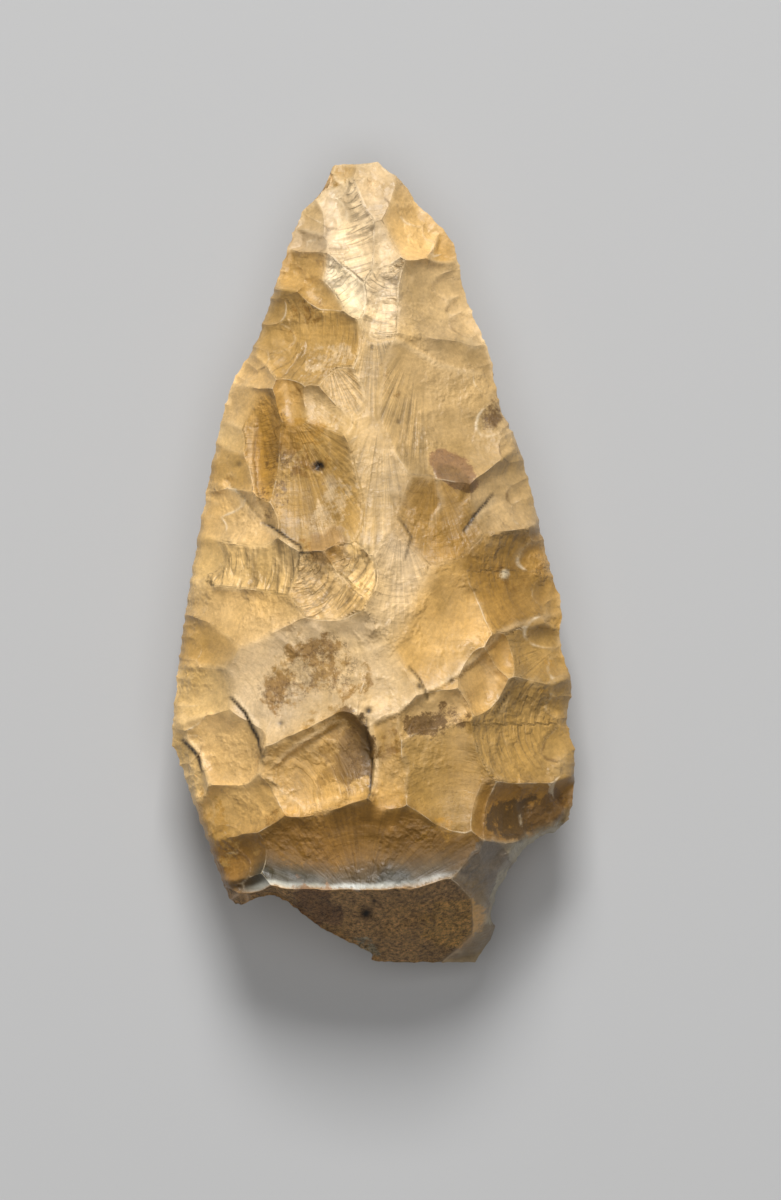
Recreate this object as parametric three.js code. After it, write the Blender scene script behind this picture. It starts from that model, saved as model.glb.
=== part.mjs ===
// Stone hand axe: a pointed biface of knapped flint, lying on its flatter face with the tip toward +Y.
//
// The whole tool is one stone. Its form comes from three things:
//   1. the edge, a closed line in space that runs round the stone where its two faces meet;
//   2. two domes, one above and one below that line, which are the blank before the last blows;
//   3. flake scars, shallow bowls struck into the domes. Where two bowls meet they leave a ridge.
// Millimetres, +Z up. The origin is the middle of the stone in plan, at the height it rests on.
import * as THREE from 'three';

// ---------------------------------------------------------------- driving dimensions
const ROWS = 66; // net lines from the tip to the butt
const COLUMNS = 34; // net lines from the left edge to the right edge
const FLINT = 0xc9a066; // creamy tan patina

const EDGE_BEVEL = 1.0; // distance over which a face reaches its full height at the edge
const EDGE_SLOPE = 0.3; // least rise of a face away from the edge, mm per mm
const DOME_STEP = 1.0; // how far each dome stands off the edge where it begins

// The edge in plan, from above: along the tip, down the left side, along the butt and up the right side.
const TIP = [[-9.6, 87.8], [-8.4, 89.3], [-3, 89.5], [0.9, 90]];
const LEFT = [[-9.6, 87.8], [-10.3, 84.6], [-15.7, 79], [-18.9, 71.5], [-26.2, 50], [-33, 36], [-41, -4],
  [-44.9, -36], [-43.4, -44.2], [-33, -72.8], [-29.6, -76.1]];
const BUTT = [[-29.6, -76.1], [-21.8, -74], [-11.6, -81.2], [-1, -86.8], [1.3, -89], [22.8, -89.4]];
const RIGHT = [[22.8, -89.4], [27.3, -82], [26.3, -79.5], [28.2, -72.5], [34.6, -63], [43.4, -57.2],
  [44.9, -42.5], [43.2, -35], [44.3, -27], [41.8, -18], [42, -9], [39.6, -1.2], [33.2, 24], [28.3, 35.5],
  [25.9, 47], [20.6, 60], [17.6, 72], [9.3, 81.2], [7, 85], [0.9, 90]];

// Height of the edge along each side, as [y, z].
const LEFT_EDGE_HEIGHT = [[-76.1, 24.5], [-72.8, 22], [-60, 20.5], [-20, 19.5], [40, 17.5], [90, 15.3]];
const RIGHT_EDGE_HEIGHT = [[-89.4, 9.8], [-82, 13], [-63, 18.5], [-55, 20.3], [-20, 19.2], [40, 17.5], [90, 15.3]];

// The blank along the stone: y, middle x, half width, crest of the upper dome, crest of the lower dome.
const BLANK = [[-92, 1, 42, 34, 5], [-75, 1, 42, 38, 3.2], [-60, 1, 44.5, 41, 2.2], [-40, 0, 46.2, 42.5, 1.2],
  [-20, -0.8, 44.4, 42, 0.4], [0, -0.5, 41.6, 40, 0.8], [20, -1.3, 36.6, 37, 2.2], [40, -2, 30.5, 33, 4],
  [60, -1.1, 22.6, 28.5, 6.4], [80, -1.4, 14, 22.5, 9], [86, -2.5, 9.5, 19.5, 11], [90, -4, 6.5, 16.5, 13]];
const [MIDDLE, HALF_WIDTH, UPPER_CREST, LOWER_CREST] = [1, 2, 3, 4];

// The flake scars of the upper face: the middle x and y of the bowl, its half length and half width, the
// direction of the blow in degrees from +X, its depth, and how it ends: 2 feathers out, 8 stops in a step.
const UPPER_SCARS = [
  // tip
  [-7.2, 88, 3.6, 2.6, -90, 0.8, 2], [-0.2, 83, 7.2, 3.8, -78, 1, 2], [8.9, 76.3, 8, 7.4, -110, 1.5, 2],
  [-5.6, 75, 13.4, 6, -76, 1.8, 2], [-6.7, 61.8, 7.6, 4.4, -55, 1.3, 2], [2.5, 58.7, 9.4, 5.2, -100, 1.3, 2],
  [2, 70, 7.2, 3.4, -90, 0.7, 2], [15.2, 57.8, 12.6, 9.6, -20, 1.9, 2],
  // left side, from the tip down
  [-14.1, 77, 5, 3.8, -30, 0.8, 2], [-16.3, 69, 6.8, 5.6, -15, 1.2, 2], [-15.2, 49.8, 12.5, 9.6, -12, 2.1, 2],
  [-28.2, 42.6, 4.6, 3.6, -20, 0.9, 2], [-31.4, 31.5, 5.6, 5.8, -20, 1.1, 2], [-32, 21.1, 6.4, 4.6, -45, 1.1, 2],
  [-24.4, 25.2, 13.2, 4.6, -82, 1.7, 2], [-12.5, 35.2, 8, 4, -20, 0.9, 2], [-14.2, 17.4, 14.5, 10, -75, 2, 4],
  [-30.9, 10.6, 10.5, 6.4, -25, 1.7, 6], [-28.6, -1, 13.2, 6.6, -5, 1.7, 3], [-10, -4.4, 9.4, 6.8, -45, 1.3, 2],
  [-28.6, -10, 12, 6.4, 0, 1.4, 2], [-38.7, -17.3, 6, 5, -10, 1, 2], [-14.5, -24.8, 17.5, 11.6, 20, 2.1, 2],
  [-38.7, -28.5, 7, 5, -20, 1.1, 2], [-33.1, -40.8, 8.6, 7.4, -20, 1.7, 7], [-41.6, -45.3, 4.5, 6.5, 0, 1.1, 6],
  [-28.6, -54.2, 8.8, 6, 10, 1.4, 2], [-29.7, -65.4, 7.5, 5.5, 20, 1.3, 2],
  // median strip
  [-6.3, 39, 6.7, 4.2, -60, 0.9, 2], [0.5, 40, 14, 4.2, -88, 0.5, 2], [2.5, 20, 14, 5, -88, 0.6, 2],
  [6.5, -6, 13.5, 5.8, -88, 1.1, 4], [1.1, -25.3, 8.5, 7, -90, 1, 2], [3.4, -46.4, 12, 4.5, 90, 0.9, 2],
  // right side, from the tip down
  [14.6, 35, 17.5, 14.2, -80, 2.2, 2], [13.5, 10.5, 9.5, 9, -90, 1.1, 2], [29.5, 15.1, 8.6, 6.6, 200, 1.2, 2],
  [31.1, -3.9, 11.5, 10.5, 190, 1.6, 2], [14.5, -14, 14, 10.5, -115, 1.7, 2], [36.2, -19.6, 6.2, 6, 200, 1.3, 2],
  [25, -24.6, 8, 5.6, -70, 1.3, 2], [34, -38, 11.5, 11, 190, 2.1, 2], [34.9, -56.8, 12, 8.2, 165, 2.2, 2],
  // butt
  [-11.5, -45.8, 13, 9.8, 34, 2.1, 8], [14.8, -46.8, 14.2, 9.4, 100, 1.6, 3], [12.7, -35.1, 9, 5, 30, 1.1, 2],
  [-2.5, -64, 11, 25, 90, 2.4, 2],
];

// The lower face is struck in three rounds: long thinning flakes, shorter ones, then trimming at the edge.
// The blows of a round go round the stone at even steps, each a little different. offset is where a scar's
// middle lies, as a share of the local half width; the pairs are the least and greatest half length, half
// width and depth; a blow may swing off the line to the middle by up to swing degrees.
const LOWER_ROUNDS = [
  { blows: 9, offset: 0.46, long: [15, 21], wide: [10, 14], deep: [1.5, 2.4], swing: 38 },
  { blows: 13, offset: 0.74, long: [8, 12], wide: [6, 9], deep: [1.4, 2.1], swing: 30 },
  { blows: 19, offset: 0.93, long: [3.5, 6], wide: [3.5, 6], deep: [1, 1.6], swing: 20 },
];
const SEED = 11;

// The edge wanders up and down between the blows of the two faces: height and length of its waves.
const EDGE_WAVES = [[0.7, 31], [0.45, 13.5]];

// ---------------------------------------------------------------- small helpers
const mix = THREE.MathUtils.lerp;

// A repeatable row of numbers from 0 to 1.
function randomRow(seed) {
  let state = seed;
  return () => {
    state = (state * 16807) % 2147483647;
    return state / 2147483647;
  };
}

// The value in a column of a table at a given y, eased between the table's rows.
function along(table, y, column) {
  const last = table.length - 1;
  const row = Math.max(1, table.findIndex((entry) => entry[0] > y));
  const upper = y >= table[last][0] ? last : row;
  const [from, to] = [table[upper - 1], table[upper]];
  const share = THREE.MathUtils.clamp((y - from[0]) / (to[0] - from[0]), 0, 1);
  return mix(from[column], to[column], share);
}

// Equally spaced points on a smooth curve through the outline's corners, with the edge's height added.
function edgeLine(corners, height, count) {
  const points = corners.map(([x, y]) => new THREE.Vector3(x, y, height(x, y)));
  const line = new THREE.CatmullRomCurve3(points, false, 'catmullrom', 0.5);
  line.arcLengthDivisions = 60 * corners.length;
  return line.getSpacedPoints(count - 1);
}

// The edge's height on one side of the stone.
function sideHeight(table, y) {
  const waves = EDGE_WAVES.map(([height, length]) => height * Math.sin((2 * Math.PI * y) / length));
  return along(table, y, 1) + waves.reduce((sum, wave) => sum + wave, 0);
}

// ---------------------------------------------------------------- surfaces of the stone
// A bowl: 0 on its rim, its full depth in the middle, and below 0 outside the rim.
function bowl([middleX, middleY, halfLength, halfWidth, turn, deep, end], x, y) {
  const angle = THREE.MathUtils.degToRad(turn);
  const [dx, dy] = [x - middleX, y - middleY];
  const forward = (dx * Math.cos(angle) + dy * Math.sin(angle)) / halfLength;
  const across = (dy * Math.cos(angle) - dx * Math.sin(angle)) / halfWidth;
  const run = forward > 0 ? forward ** end : forward ** 2;
  return deep * (1 - run - across ** 2);
}

// The blank's two domes are parabolas across the stone, from just off the edge to the crest.
function dome(x, y, crestColumn, side) {
  const reach = (x - along(BLANK, y, MIDDLE)) / along(BLANK, y, HALF_WIDTH);
  const foot = along(LEFT_EDGE_HEIGHT, y, 1) + side * DOME_STEP;
  return foot + (along(BLANK, y, crestColumn) - foot) * (1 - reach ** 2);
}

// The rough outer crust left on the butt slopes down toward -Y and bends a little across.
function crust(x, y) {
  return 127.5 + 1.25 * y - 0.009 * (x + 2) ** 2;
}

// The fresh break beside the crust slopes down to the right and curls over toward the butt.
function freshBreak(x, y) {
  const beyond = Math.max(0, x - 25);
  const below = Math.min(0, y + 68);
  return 35.2 + 0.65 * (y + 63.5) - 0.73 * (x - 25) - 0.02 * beyond ** 2 - 0.027 * below ** 2;
}

// Every surface that bounds the stone from above. The lowest one at a place is the face there.
const dorsalSurfaces = [
  ...UPPER_SCARS.map((scar) => (x, y) => dome(x, y, UPPER_CREST, 1) - bowl(scar, x, y)),
  crust,
  freshBreak,
];

// The blows on the lower face, spaced evenly by angle round the middle of the stone in each round.
function lowerScars() {
  const random = randomRow(SEED);
  const between = ([least, most]) => mix(least, most, random());
  return LOWER_ROUNDS.flatMap((round) => Array.from({ length: round.blows }, (_, blow) => {
    const angle = (2 * Math.PI * (blow + 0.5 * random())) / round.blows;
    const y = 86 * Math.sin(angle);
    const halfWidth = along(BLANK, y, HALF_WIDTH);
    const side = Math.sign(Math.cos(angle));
    const x = along(BLANK, y, MIDDLE) + side * round.offset * halfWidth;
    const turn = (side > 0 ? 180 : 0) + round.swing * (2 * random() - 1);
    const long = between(round.long) * Math.min(1, halfWidth / 34);
    return [x, y, long, between(round.wide), turn, between(round.deep), 2];
  }));
}

const ventralSurfaces = lowerScars().map((scar) => (x, y) => dome(x, y, LOWER_CREST, -1) + bowl(scar, x, y));
ventralSurfaces.push(() => 0); // the flat the stone rests on

const dorsal = { surfaces: dorsalSurfaces, side: 1 };
const ventral = { surfaces: ventralSurfaces, side: -1 };

// Which surface bounds a face at a place, and how high it is there.
function bounding(face, x, y) {
  let best = { surface: null, height: face.side * Infinity };
  for (const surface of face.surfaces) {
    const height = surface(x, y);
    if (face.side * height < face.side * best.height) best = { surface, height };
  }
  return best;
}

// A face's height: it leaves the edge at the edge's own height and soon reaches its bounding surface.
function faceHeight(face, point) {
  const { x, y, z, inset } = point;
  const rise = Math.max(face.side * (bounding(face, x, y).height - z), EDGE_SLOPE * inset);
  const bevel = EDGE_BEVEL + (face.side < 0 ? 0.45 * Math.max(0, z - 20) : 0);
  return z + face.side * rise * (1 - Math.exp(-inset / bevel));
}

// ---------------------------------------------------------------- the net over the stone
const leftHeight = (x, y) => sideHeight(LEFT_EDGE_HEIGHT, y);
const rightHeight = (x, y) => sideHeight(RIGHT_EDGE_HEIGHT, y - 5);
const buttHeight = (x, y) => crust(x, y) - 0.8;

const tip = edgeLine(TIP, leftHeight, COLUMNS);
const left = edgeLine(LEFT, leftHeight, ROWS);
const butt = edgeLine(BUTT, buttHeight, COLUMNS);
const right = edgeLine(RIGHT, rightHeight, ROWS).reverse();
const onRim = (row, column) => row === 0 || column === 0 || row === ROWS - 1 || column === COLUMNS - 1;

// Points spread over the plan by blending the four edge lines.
function blendedNet() {
  const net = [];
  for (let row = 0; row < ROWS; row += 1) {
    const down = row / (ROWS - 1);
    const line = [];
    for (let column = 0; column < COLUMNS; column += 1) {
      const across = column / (COLUMNS - 1);
      const sides = left[row].clone().lerp(right[row], across);
      const ends = tip[column].clone().lerp(butt[column], down);
      const tipCorners = tip[0].clone().lerp(tip[COLUMNS - 1], across);
      const buttCorners = butt[0].clone().lerp(butt[COLUMNS - 1], across);
      line.push(sides.add(ends).sub(tipCorners.lerp(buttCorners, down)));
    }
    net.push(line);
  }
  return net;
}

// Relaxing moves each inner point to the middle of its four neighbours, which evens out the net.
function relax(net, sweeps) {
  for (let sweep = 0; sweep < sweeps; sweep += 1) {
    for (let row = 1; row < ROWS - 1; row += 1) {
      for (let column = 1; column < COLUMNS - 1; column += 1) {
        const point = net[row][column];
        point.copy(net[row - 1][column]).add(net[row + 1][column]);
        point.add(net[row][column - 1]).add(net[row][column + 1]).multiplyScalar(0.25);
      }
    }
  }
}

// Where two surfaces cross on the way between two points, as a share of the way, found by halving it.
function crossing(one, other, from, to) {
  const oneIsHigher = (share) => {
    const [x, y] = [mix(from.x, to.x, share), mix(from.y, to.y, share)];
    return one(x, y) > other(x, y);
  };
  const atStart = oneIsHigher(0);
  let [near, far] = [0, 1];
  for (let halving = 0; halving < 10; halving += 1) {
    const middle = (near + far) / 2;
    if (oneIsHigher(middle) === atStart) near = middle;
    else far = middle;
  }
  return (near + far) / 2;
}

// Each inner point that lies near a ridge slides onto it, so that ridges stay sharp.
function settleOnRidges(net, face) {
  const moves = net.map((line) => line.map(() => null));
  const owner = net.map((line) => line.map((point) => bounding(face, point.x, point.y).surface));
  const propose = (row, column, step) => {
    const known = moves[row][column];
    if (onRim(row, column) || (known && known.length() < step.length())) return;
    moves[row][column] = step;
  };
  const compare = (row, column, nextRow, nextColumn) => {
    const [here, there] = [owner[row][column], owner[nextRow][nextColumn]];
    if (here === there) return;
    const [from, to] = [net[row][column], net[nextRow][nextColumn]];
    const share = crossing(here, there, from, to);
    const step = to.clone().sub(from);
    if (share < 0.5) propose(row, column, step.multiplyScalar(share));
    else propose(nextRow, nextColumn, step.multiplyScalar(share - 1));
  };
  for (let row = 0; row < ROWS; row += 1) {
    for (let column = 0; column < COLUMNS; column += 1) {
      if (column < COLUMNS - 1) compare(row, column, row, column + 1);
      if (row < ROWS - 1) compare(row, column, row + 1, column);
    }
  }
  return net.map((line, row) => line.map((point, column) => {
    const move = moves[row][column];
    return move ? point.clone().add(move) : point.clone();
  }));
}

// How far a point lies from the edge, in plan.
function edgeDistance(point) {
  const distances = [tip, left, butt, right].flat().map((rim) => Math.hypot(rim.x - point.x, rim.y - point.y));
  return Math.min(...distances);
}

// A face's own net, settled on its ridges and lifted to its height.
function faceNet(base, face) {
  const settled = settleOnRidges(base, face);
  return settled.map((line, row) => line.map((point, column) => {
    if (onRim(row, column)) return point;
    const inset = edgeDistance(point);
    const height = faceHeight(face, { x: point.x, y: point.y, z: point.z, inset });
    return new THREE.Vector3(point.x, point.y, height);
  }));
}

// ---------------------------------------------------------------- one closed mesh from the two nets
// The quad between four points is split along the diagonal that lies closer to the face, so that no ridge
// is cut across.
function splitQuad([a, b, c, d], points, face) {
  const miss = (i, j) => {
    const middle = points[i].clone().lerp(points[j], 0.5);
    return Math.abs(bounding(face, middle.x, middle.y).height - middle.z);
  };
  const triangles = miss(a, c) <= miss(b, d) ? [a, b, c, a, c, d] : [b, c, d, b, d, a];
  return face.side > 0 ? triangles : triangles.reverse();
}

function closedStone() {
  const base = blendedNet();
  relax(base, 300);
  const points = [];
  const add = (point) => points.push(point) - 1;
  const upperNet = faceNet(base, dorsal);
  const lowerNet = faceNet(base, ventral);
  const upper = upperNet.map((line) => line.map(add));
  const lower = lowerNet.map((line, row) => line.map((point, column) => (
    onRim(row, column) ? upper[row][column] : add(point)
  )));
  const index = [];
  for (let row = 0; row < ROWS - 1; row += 1) {
    for (let column = 0; column < COLUMNS - 1; column += 1) {
      const quad = (net) => [
        net[row][column], net[row + 1][column], net[row + 1][column + 1], net[row][column + 1],
      ];
      index.push(...splitQuad(quad(upper), points, dorsal), ...splitQuad(quad(lower), points, ventral));
    }
  }
  const geometry = new THREE.BufferGeometry().setFromPoints(points);
  geometry.setIndex(index);
  return geometry;
}

// ---------------------------------------------------------------- the part
function handAxe() {
  const geometry = closedStone();
  geometry.computeBoundingBox();
  const { min, max } = geometry.boundingBox;
  geometry.translate(-(min.x + max.x) / 2, -(min.y + max.y) / 2, -min.z);
  geometry.computeVertexNormals();
  const material = new THREE.MeshStandardMaterial({ color: FLINT, roughness: 0.55, metalness: 0, flatShading: true });
  const stone = new THREE.Mesh(geometry, material);
  stone.name = 'hand_axe';
  return stone;
}

const part = new THREE.Group();
part.add(handAxe());

export default part;
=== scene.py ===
# %% [markdown]
# # A knapped flint hand axe
# The tool is one stone: a long blank of flint, struck all round its edge until both faces are covered in
# shallow scars. This lesson builds its surface as arithmetic on arrays, with no sculpting: an edge line, two
# domes, a table of scars, and then the small relief and the colours that long ages in the ground have left.
# Every length is in millimetres until the mesh is made, which is in metres.

# %% The fixed frame
import math

import bpy
import numpy as np
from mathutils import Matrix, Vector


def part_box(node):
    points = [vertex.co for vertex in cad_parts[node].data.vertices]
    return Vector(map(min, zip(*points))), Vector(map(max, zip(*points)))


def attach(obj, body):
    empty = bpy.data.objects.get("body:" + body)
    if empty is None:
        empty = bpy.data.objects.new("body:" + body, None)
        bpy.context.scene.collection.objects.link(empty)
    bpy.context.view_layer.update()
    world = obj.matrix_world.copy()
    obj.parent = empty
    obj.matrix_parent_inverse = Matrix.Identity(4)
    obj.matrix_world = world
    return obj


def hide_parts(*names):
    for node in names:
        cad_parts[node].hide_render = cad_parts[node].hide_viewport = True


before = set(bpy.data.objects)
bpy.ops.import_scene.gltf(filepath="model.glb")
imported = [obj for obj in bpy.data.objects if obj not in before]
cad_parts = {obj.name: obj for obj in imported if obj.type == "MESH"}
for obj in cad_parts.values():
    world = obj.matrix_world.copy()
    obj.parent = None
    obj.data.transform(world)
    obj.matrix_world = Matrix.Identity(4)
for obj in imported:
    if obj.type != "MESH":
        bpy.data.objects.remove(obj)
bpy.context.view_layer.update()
NODE = "hand_axe"
low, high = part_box(NODE)
LENGTH, BREADTH, THICKNESS = (1000 * (high[axis] - low[axis]) for axis in (1, 0, 2))
print(f"stone {LENGTH:.1f} long, {BREADTH:.1f} broad, {THICKNESS:.1f} thick")

# %% [markdown]
# ## Camera, light and floor
# The stone lies on its flatter face and is seen from straight above, tip away. A long lens far away keeps the
# outline free of perspective. One soft light stands beyond the tip: it rakes over the scars, so that each
# bowl shows a lit side and a shaded side, and it throws the soft shadow toward the butt. A wide weak light
# overhead opens the shadow without flattening the steep facets.

# %% Camera
CAMERA_HEIGHT = 2.5
EDGE_LEVEL = 0.018  # height of the stone's edge, where the frame's size is measured
FRAME_HEIGHT = 0.2683  # how much of the floor plan the tall side of the frame covers at that height
CAMERA_X, CAMERA_Y = 0.0039, -0.0084
SENSOR = 36.0

camera = bpy.data.objects.new("camera", bpy.data.cameras.new("camera"))
camera.data.sensor_width = SENSOR
camera.data.lens = SENSOR * (CAMERA_HEIGHT - EDGE_LEVEL) / FRAME_HEIGHT
camera.data.clip_end = 20
camera.location = (CAMERA_X, CAMERA_Y, CAMERA_HEIGHT)
bpy.context.collection.objects.link(camera)
bpy.context.scene.camera = camera
print(f"camera {CAMERA_HEIGHT} m above the floor, lens {camera.data.lens:.0f} mm")

# %% [markdown]
# The lights are far away for their size, so that they are even over the whole stone. The view is the plain
# one, without a film curve, so that tints come out as they are written.

# %% Lights and the view
KEY_ELEVATION = 42  # degrees above the floor
KEY_DISTANCE = 3.2
KEY_SIZE = 1.15
KEY_POWER = 103
FILL_POWER = 39
FILL_SIZE = 3.0
WORLD_LEVEL = 0.09


def area_light(name, power, size, place):
    """Adds a square area light that faces the middle of the stone."""
    data = bpy.data.lights.new(name, "AREA")
    data.energy, data.size = power, size
    light = bpy.data.objects.new(name, data)
    light.location = place
    down = -light.location.normalized()
    light.rotation_euler = down.to_track_quat("-Z", "Y").to_euler()
    bpy.context.collection.objects.link(light)
    return light


lift = math.radians(KEY_ELEVATION)
key_place = (-0.08, KEY_DISTANCE * math.cos(lift), KEY_DISTANCE * math.sin(lift))
area_light("key_light", KEY_POWER, KEY_SIZE, key_place)
area_light("fill_light", FILL_POWER, FILL_SIZE, (0, -0.3, 3.0))

world = bpy.data.worlds.new("pale_room")
world.use_nodes = True
world.node_tree.nodes["Background"].inputs["Color"].default_value = (1, 1, 1, 1)
world.node_tree.nodes["Background"].inputs["Strength"].default_value = WORLD_LEVEL
bpy.context.scene.world = world
bpy.context.scene.view_settings.view_transform = "Standard"
print("one key light beyond the tip, one wide fill overhead, a faint world")

# %% [markdown]
# The floor is matt pale paper, much larger than the frame. It is staging and isn't part of the tool.

# %% Floor
FLOOR_GREY = 0.50
FLOOR_SIZE = 6.0

floor_mesh = bpy.data.meshes.new("floor")
half = FLOOR_SIZE / 2
floor_corners = [(-half, -half, 0), (half, -half, 0), (half, half, 0), (-half, half, 0)]
floor_mesh.from_pydata(floor_corners, [], [(0, 1, 2, 3)])
floor = bpy.data.objects.new("floor", floor_mesh)
bpy.context.collection.objects.link(floor)
paper = bpy.data.materials.new("pale_paper")
paper.use_nodes = True
paper_inputs = paper.node_tree.nodes["Principled BSDF"].inputs
paper_inputs["Base Color"].default_value = (FLOOR_GREY, FLOOR_GREY, FLOOR_GREY, 1)
paper_inputs["Roughness"].default_value = 0.9
floor_mesh.materials.append(paper)

# %% [markdown]
# ## Random hills
# Nothing on a struck stone is quite regular, so nearly every step below borrows a little noise. Sculpted
# noise could come from a texture, but a function on whole arrays can also bend an edge, shift a colour and
# carry a seed, so that the stone comes out the same each time.

# %% Noise on arrays
LATTICE = 256


def hills(x, y, size, seed):
    """Heights from -1 to 1: random values at the corners of a lattice with squares of the given size, and
    between the corners the blend a*a*(3 - 2*a) along both sides, where a is the share of the way across."""
    corners = np.random.default_rng(seed).uniform(-1, 1, (LATTICE, LATTICE))
    u, v = x / size + 31.7, y / size + 57.3
    i, j = np.floor(u).astype(int), np.floor(v).astype(int)
    a, b = u - i, v - j
    a, b = a * a * (3 - 2 * a), b * b * (3 - 2 * b)
    at = lambda di, dj: corners[(i + di) % LATTICE, (j + dj) % LATTICE]
    return (at(0, 0) * (1 - a) + at(1, 0) * a) * (1 - b) + (at(0, 1) * (1 - a) + at(1, 1) * a) * b


def rough(x, y, size, seed, octaves=3):
    """Hills plus turned hills of half the size and half the height, and so on."""
    total, height = 0, 1
    for octave in range(octaves):
        turn = 0.9 * octave + 0.4
        across, along = x * math.cos(turn) - y * math.sin(turn), x * math.sin(turn) + y * math.cos(turn)
        total = total + height * hills(across, along, size / 2**octave, seed + octave)
        height /= 2
    return total / 1.75


def ease(value, start, end):
    """0 below start, 1 above end, and between them the smooth blend a*a*(3 - 2*a)."""
    share = np.clip((value - start) / (end - start), 0, 1)
    return share * share * (3 - 2 * share)


# %% [markdown]
# ## The edge line
# Where the two faces meet runs one closed line. Seen from above it is the outline of the tool; seen from the
# side it wanders up and down, because blows alternate between the faces. Its corners are given, and a smooth
# curve joins them. Then trimming blows bite it: each leaves a small hollow between two sharp cusps.

# %% Corners of the edge
TIP = [(-9.6, 87.8), (-8.4, 89.3), (-3, 89.5), (0.9, 90)]
LEFT = [(-9.6, 87.8), (-10.3, 84.6), (-15.7, 79), (-18.9, 71.5), (-26.2, 50), (-33, 36), (-41, -4),
        (-44.9, -36), (-43.4, -44.2), (-33, -72.8), (-29.6, -76.1)]
BUTT = [(-29.6, -76.1), (-21.8, -74), (-11.6, -81.2), (-1, -86.8), (1.3, -89), (22.8, -89.4)]
RIGHT = [(22.8, -89.4), (27.3, -82), (26.3, -79.5), (28.2, -72.5), (34.6, -63), (43.4, -57.2),
         (44.9, -42.5), (43.2, -35), (44.3, -27), (41.8, -18), (42, -9), (39.6, -1.2), (33.2, 24),
         (28.3, 35.5), (25.9, 47), (20.6, 60), (17.6, 72), (9.3, 81.2), (7, 85), (0.9, 90)]
LEFT_EDGE_HEIGHT = [(-76.1, 24.5), (-72.8, 22), (-60, 20.5), (-20, 19.5), (40, 17.5), (90, 15.3)]
RIGHT_EDGE_HEIGHT = [(-89.4, 9.8), (-82, 13), (-63, 18.5), (-55, 20.3), (-20, 19.2), (40, 17.5), (90, 15.3)]
EDGE_WAVES = [(0.7, 31.0), (0.45, 13.5)]
ROWS, COLUMNS = 385, 185


def table(knots, value, column=1):
    """Straight-line reading of a table whose first column rises."""
    knots = np.array(knots)
    return np.interp(value, knots[:, 0], knots[:, column])


def side_height(knots, y):
    """The table's height plus two sine waves along the edge."""
    return table(knots, y) + sum(height * np.sin(2 * np.pi * y / length) for height, length in EDGE_WAVES)


def crust_height(x, y):
    """The nodule's crust at the butt: a plane falling toward -Y, bent a little across."""
    return 127.5 + 1.25 * y - 0.009 * (x + 2) ** 2


def edge_line(corners, height, count):
    """Cubic stretches through the corners, the slope at a corner being half the step between its
    neighbours, resampled to equal steps."""
    flat = np.array(corners, float)
    points = np.column_stack([flat, [height(x, y) for x, y in flat]])
    points = np.vstack([2 * points[0] - points[1], points, 2 * points[-1] - points[-2]])
    t = np.linspace(0, 1, 60, endpoint=False)[:, None]
    stretches = []
    for a, b, c, d in zip(points, points[1:], points[2:], points[3:]):
        stretches.append(0.5 * (2 * b + (c - a) * t + (2 * a - 5 * b + 4 * c - d) * t**2
                                + (3 * b - a - 3 * c + d) * t**3))
    dense = np.vstack(stretches + [points[-2][None]])
    run = np.r_[0, np.cumsum(np.linalg.norm(np.diff(dense, axis=0), axis=1))]
    at = np.linspace(0, run[-1], count)
    return np.column_stack([np.interp(at, run, dense[:, axis]) for axis in range(3)])


tip = edge_line(TIP, lambda x, y: side_height(LEFT_EDGE_HEIGHT, y), COLUMNS)
left = edge_line(LEFT, lambda x, y: side_height(LEFT_EDGE_HEIGHT, y), ROWS)
butt = edge_line(BUTT, lambda x, y: crust_height(x, y) - 0.8, COLUMNS)
right = edge_line(RIGHT, lambda x, y: side_height(RIGHT_EDGE_HEIGHT, y - 5), ROWS)[::-1]
loop = np.vstack([left, butt[1:], right[::-1][1:], tip[::-1][1:-1]])
centre = (loop.min(0) + loop.max(0))[:2] / 2
print(f"edge line of {len(loop)} points, {np.linalg.norm(np.diff(loop, axis=0), axis=1).sum():.0f} mm round")

# %% [markdown]
# The knapper finished the edge with light blows that took off chips a few millimetres wide. Random gaps
# between the cusps and random depths make such an edge; each bite is noted, because it also leaves a small
# bowl on both faces. A second, finer round stands for the nicks of use.

# %% Trimming bites along the edge
BITES = (2.2, 6.8), (0.08, 0.55)  # least and greatest distance between two cusps, and depth
NICKS = (0.9, 2.8), (0.02, 0.30)
edge_random = np.random.default_rng(7)
chips = []  # where each trimming blow struck: x, y, the way inward, its width and a random share


def bitten(line, inward_side, gaps, depth_range, depth_scale):
    """Moves a line inward by 4*u*(1 - u) times a depth between each pair of cusps, u running from 0 to 1."""
    step = np.linalg.norm(np.diff(line[:, :2], axis=0), axis=1)
    run = np.r_[0, np.cumsum(step)]
    cusps = [0.0]
    while cusps[-1] < run[-1]:
        cusps.append(cusps[-1] + edge_random.uniform(*gaps))
    cusps = np.array(cusps) * run[-1] / cusps[-1]
    depths = depth_scale * edge_random.uniform(*depth_range, len(cusps))
    which = np.clip(np.searchsorted(cusps, run, side="right") - 1, 0, len(cusps) - 2)
    u = (run - cusps[which]) / (cusps[which + 1] - cusps[which])
    bite = depths[which] * 4 * u * (1 - u) - depths[which] * 0.5
    bite *= ease(run, 0, 2) * ease(run[-1] - run, 0, 2)
    way = np.gradient(line[:, :2], axis=0)
    way /= np.linalg.norm(way, axis=1)[:, None]
    inward = inward_side * np.column_stack([-way[:, 1], way[:, 0]])
    moved = line.copy()
    moved[:, :2] += inward * bite[:, None]
    middles = [np.argmin(np.abs(run - (a + b) / 2)) for a, b in zip(cusps, cusps[1:])]
    widths = np.diff(cusps)
    marks = [[*line[i, :2], *inward[i], width, edge_random.random()] for i, width in zip(middles, widths)]
    return moved, marks


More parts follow.
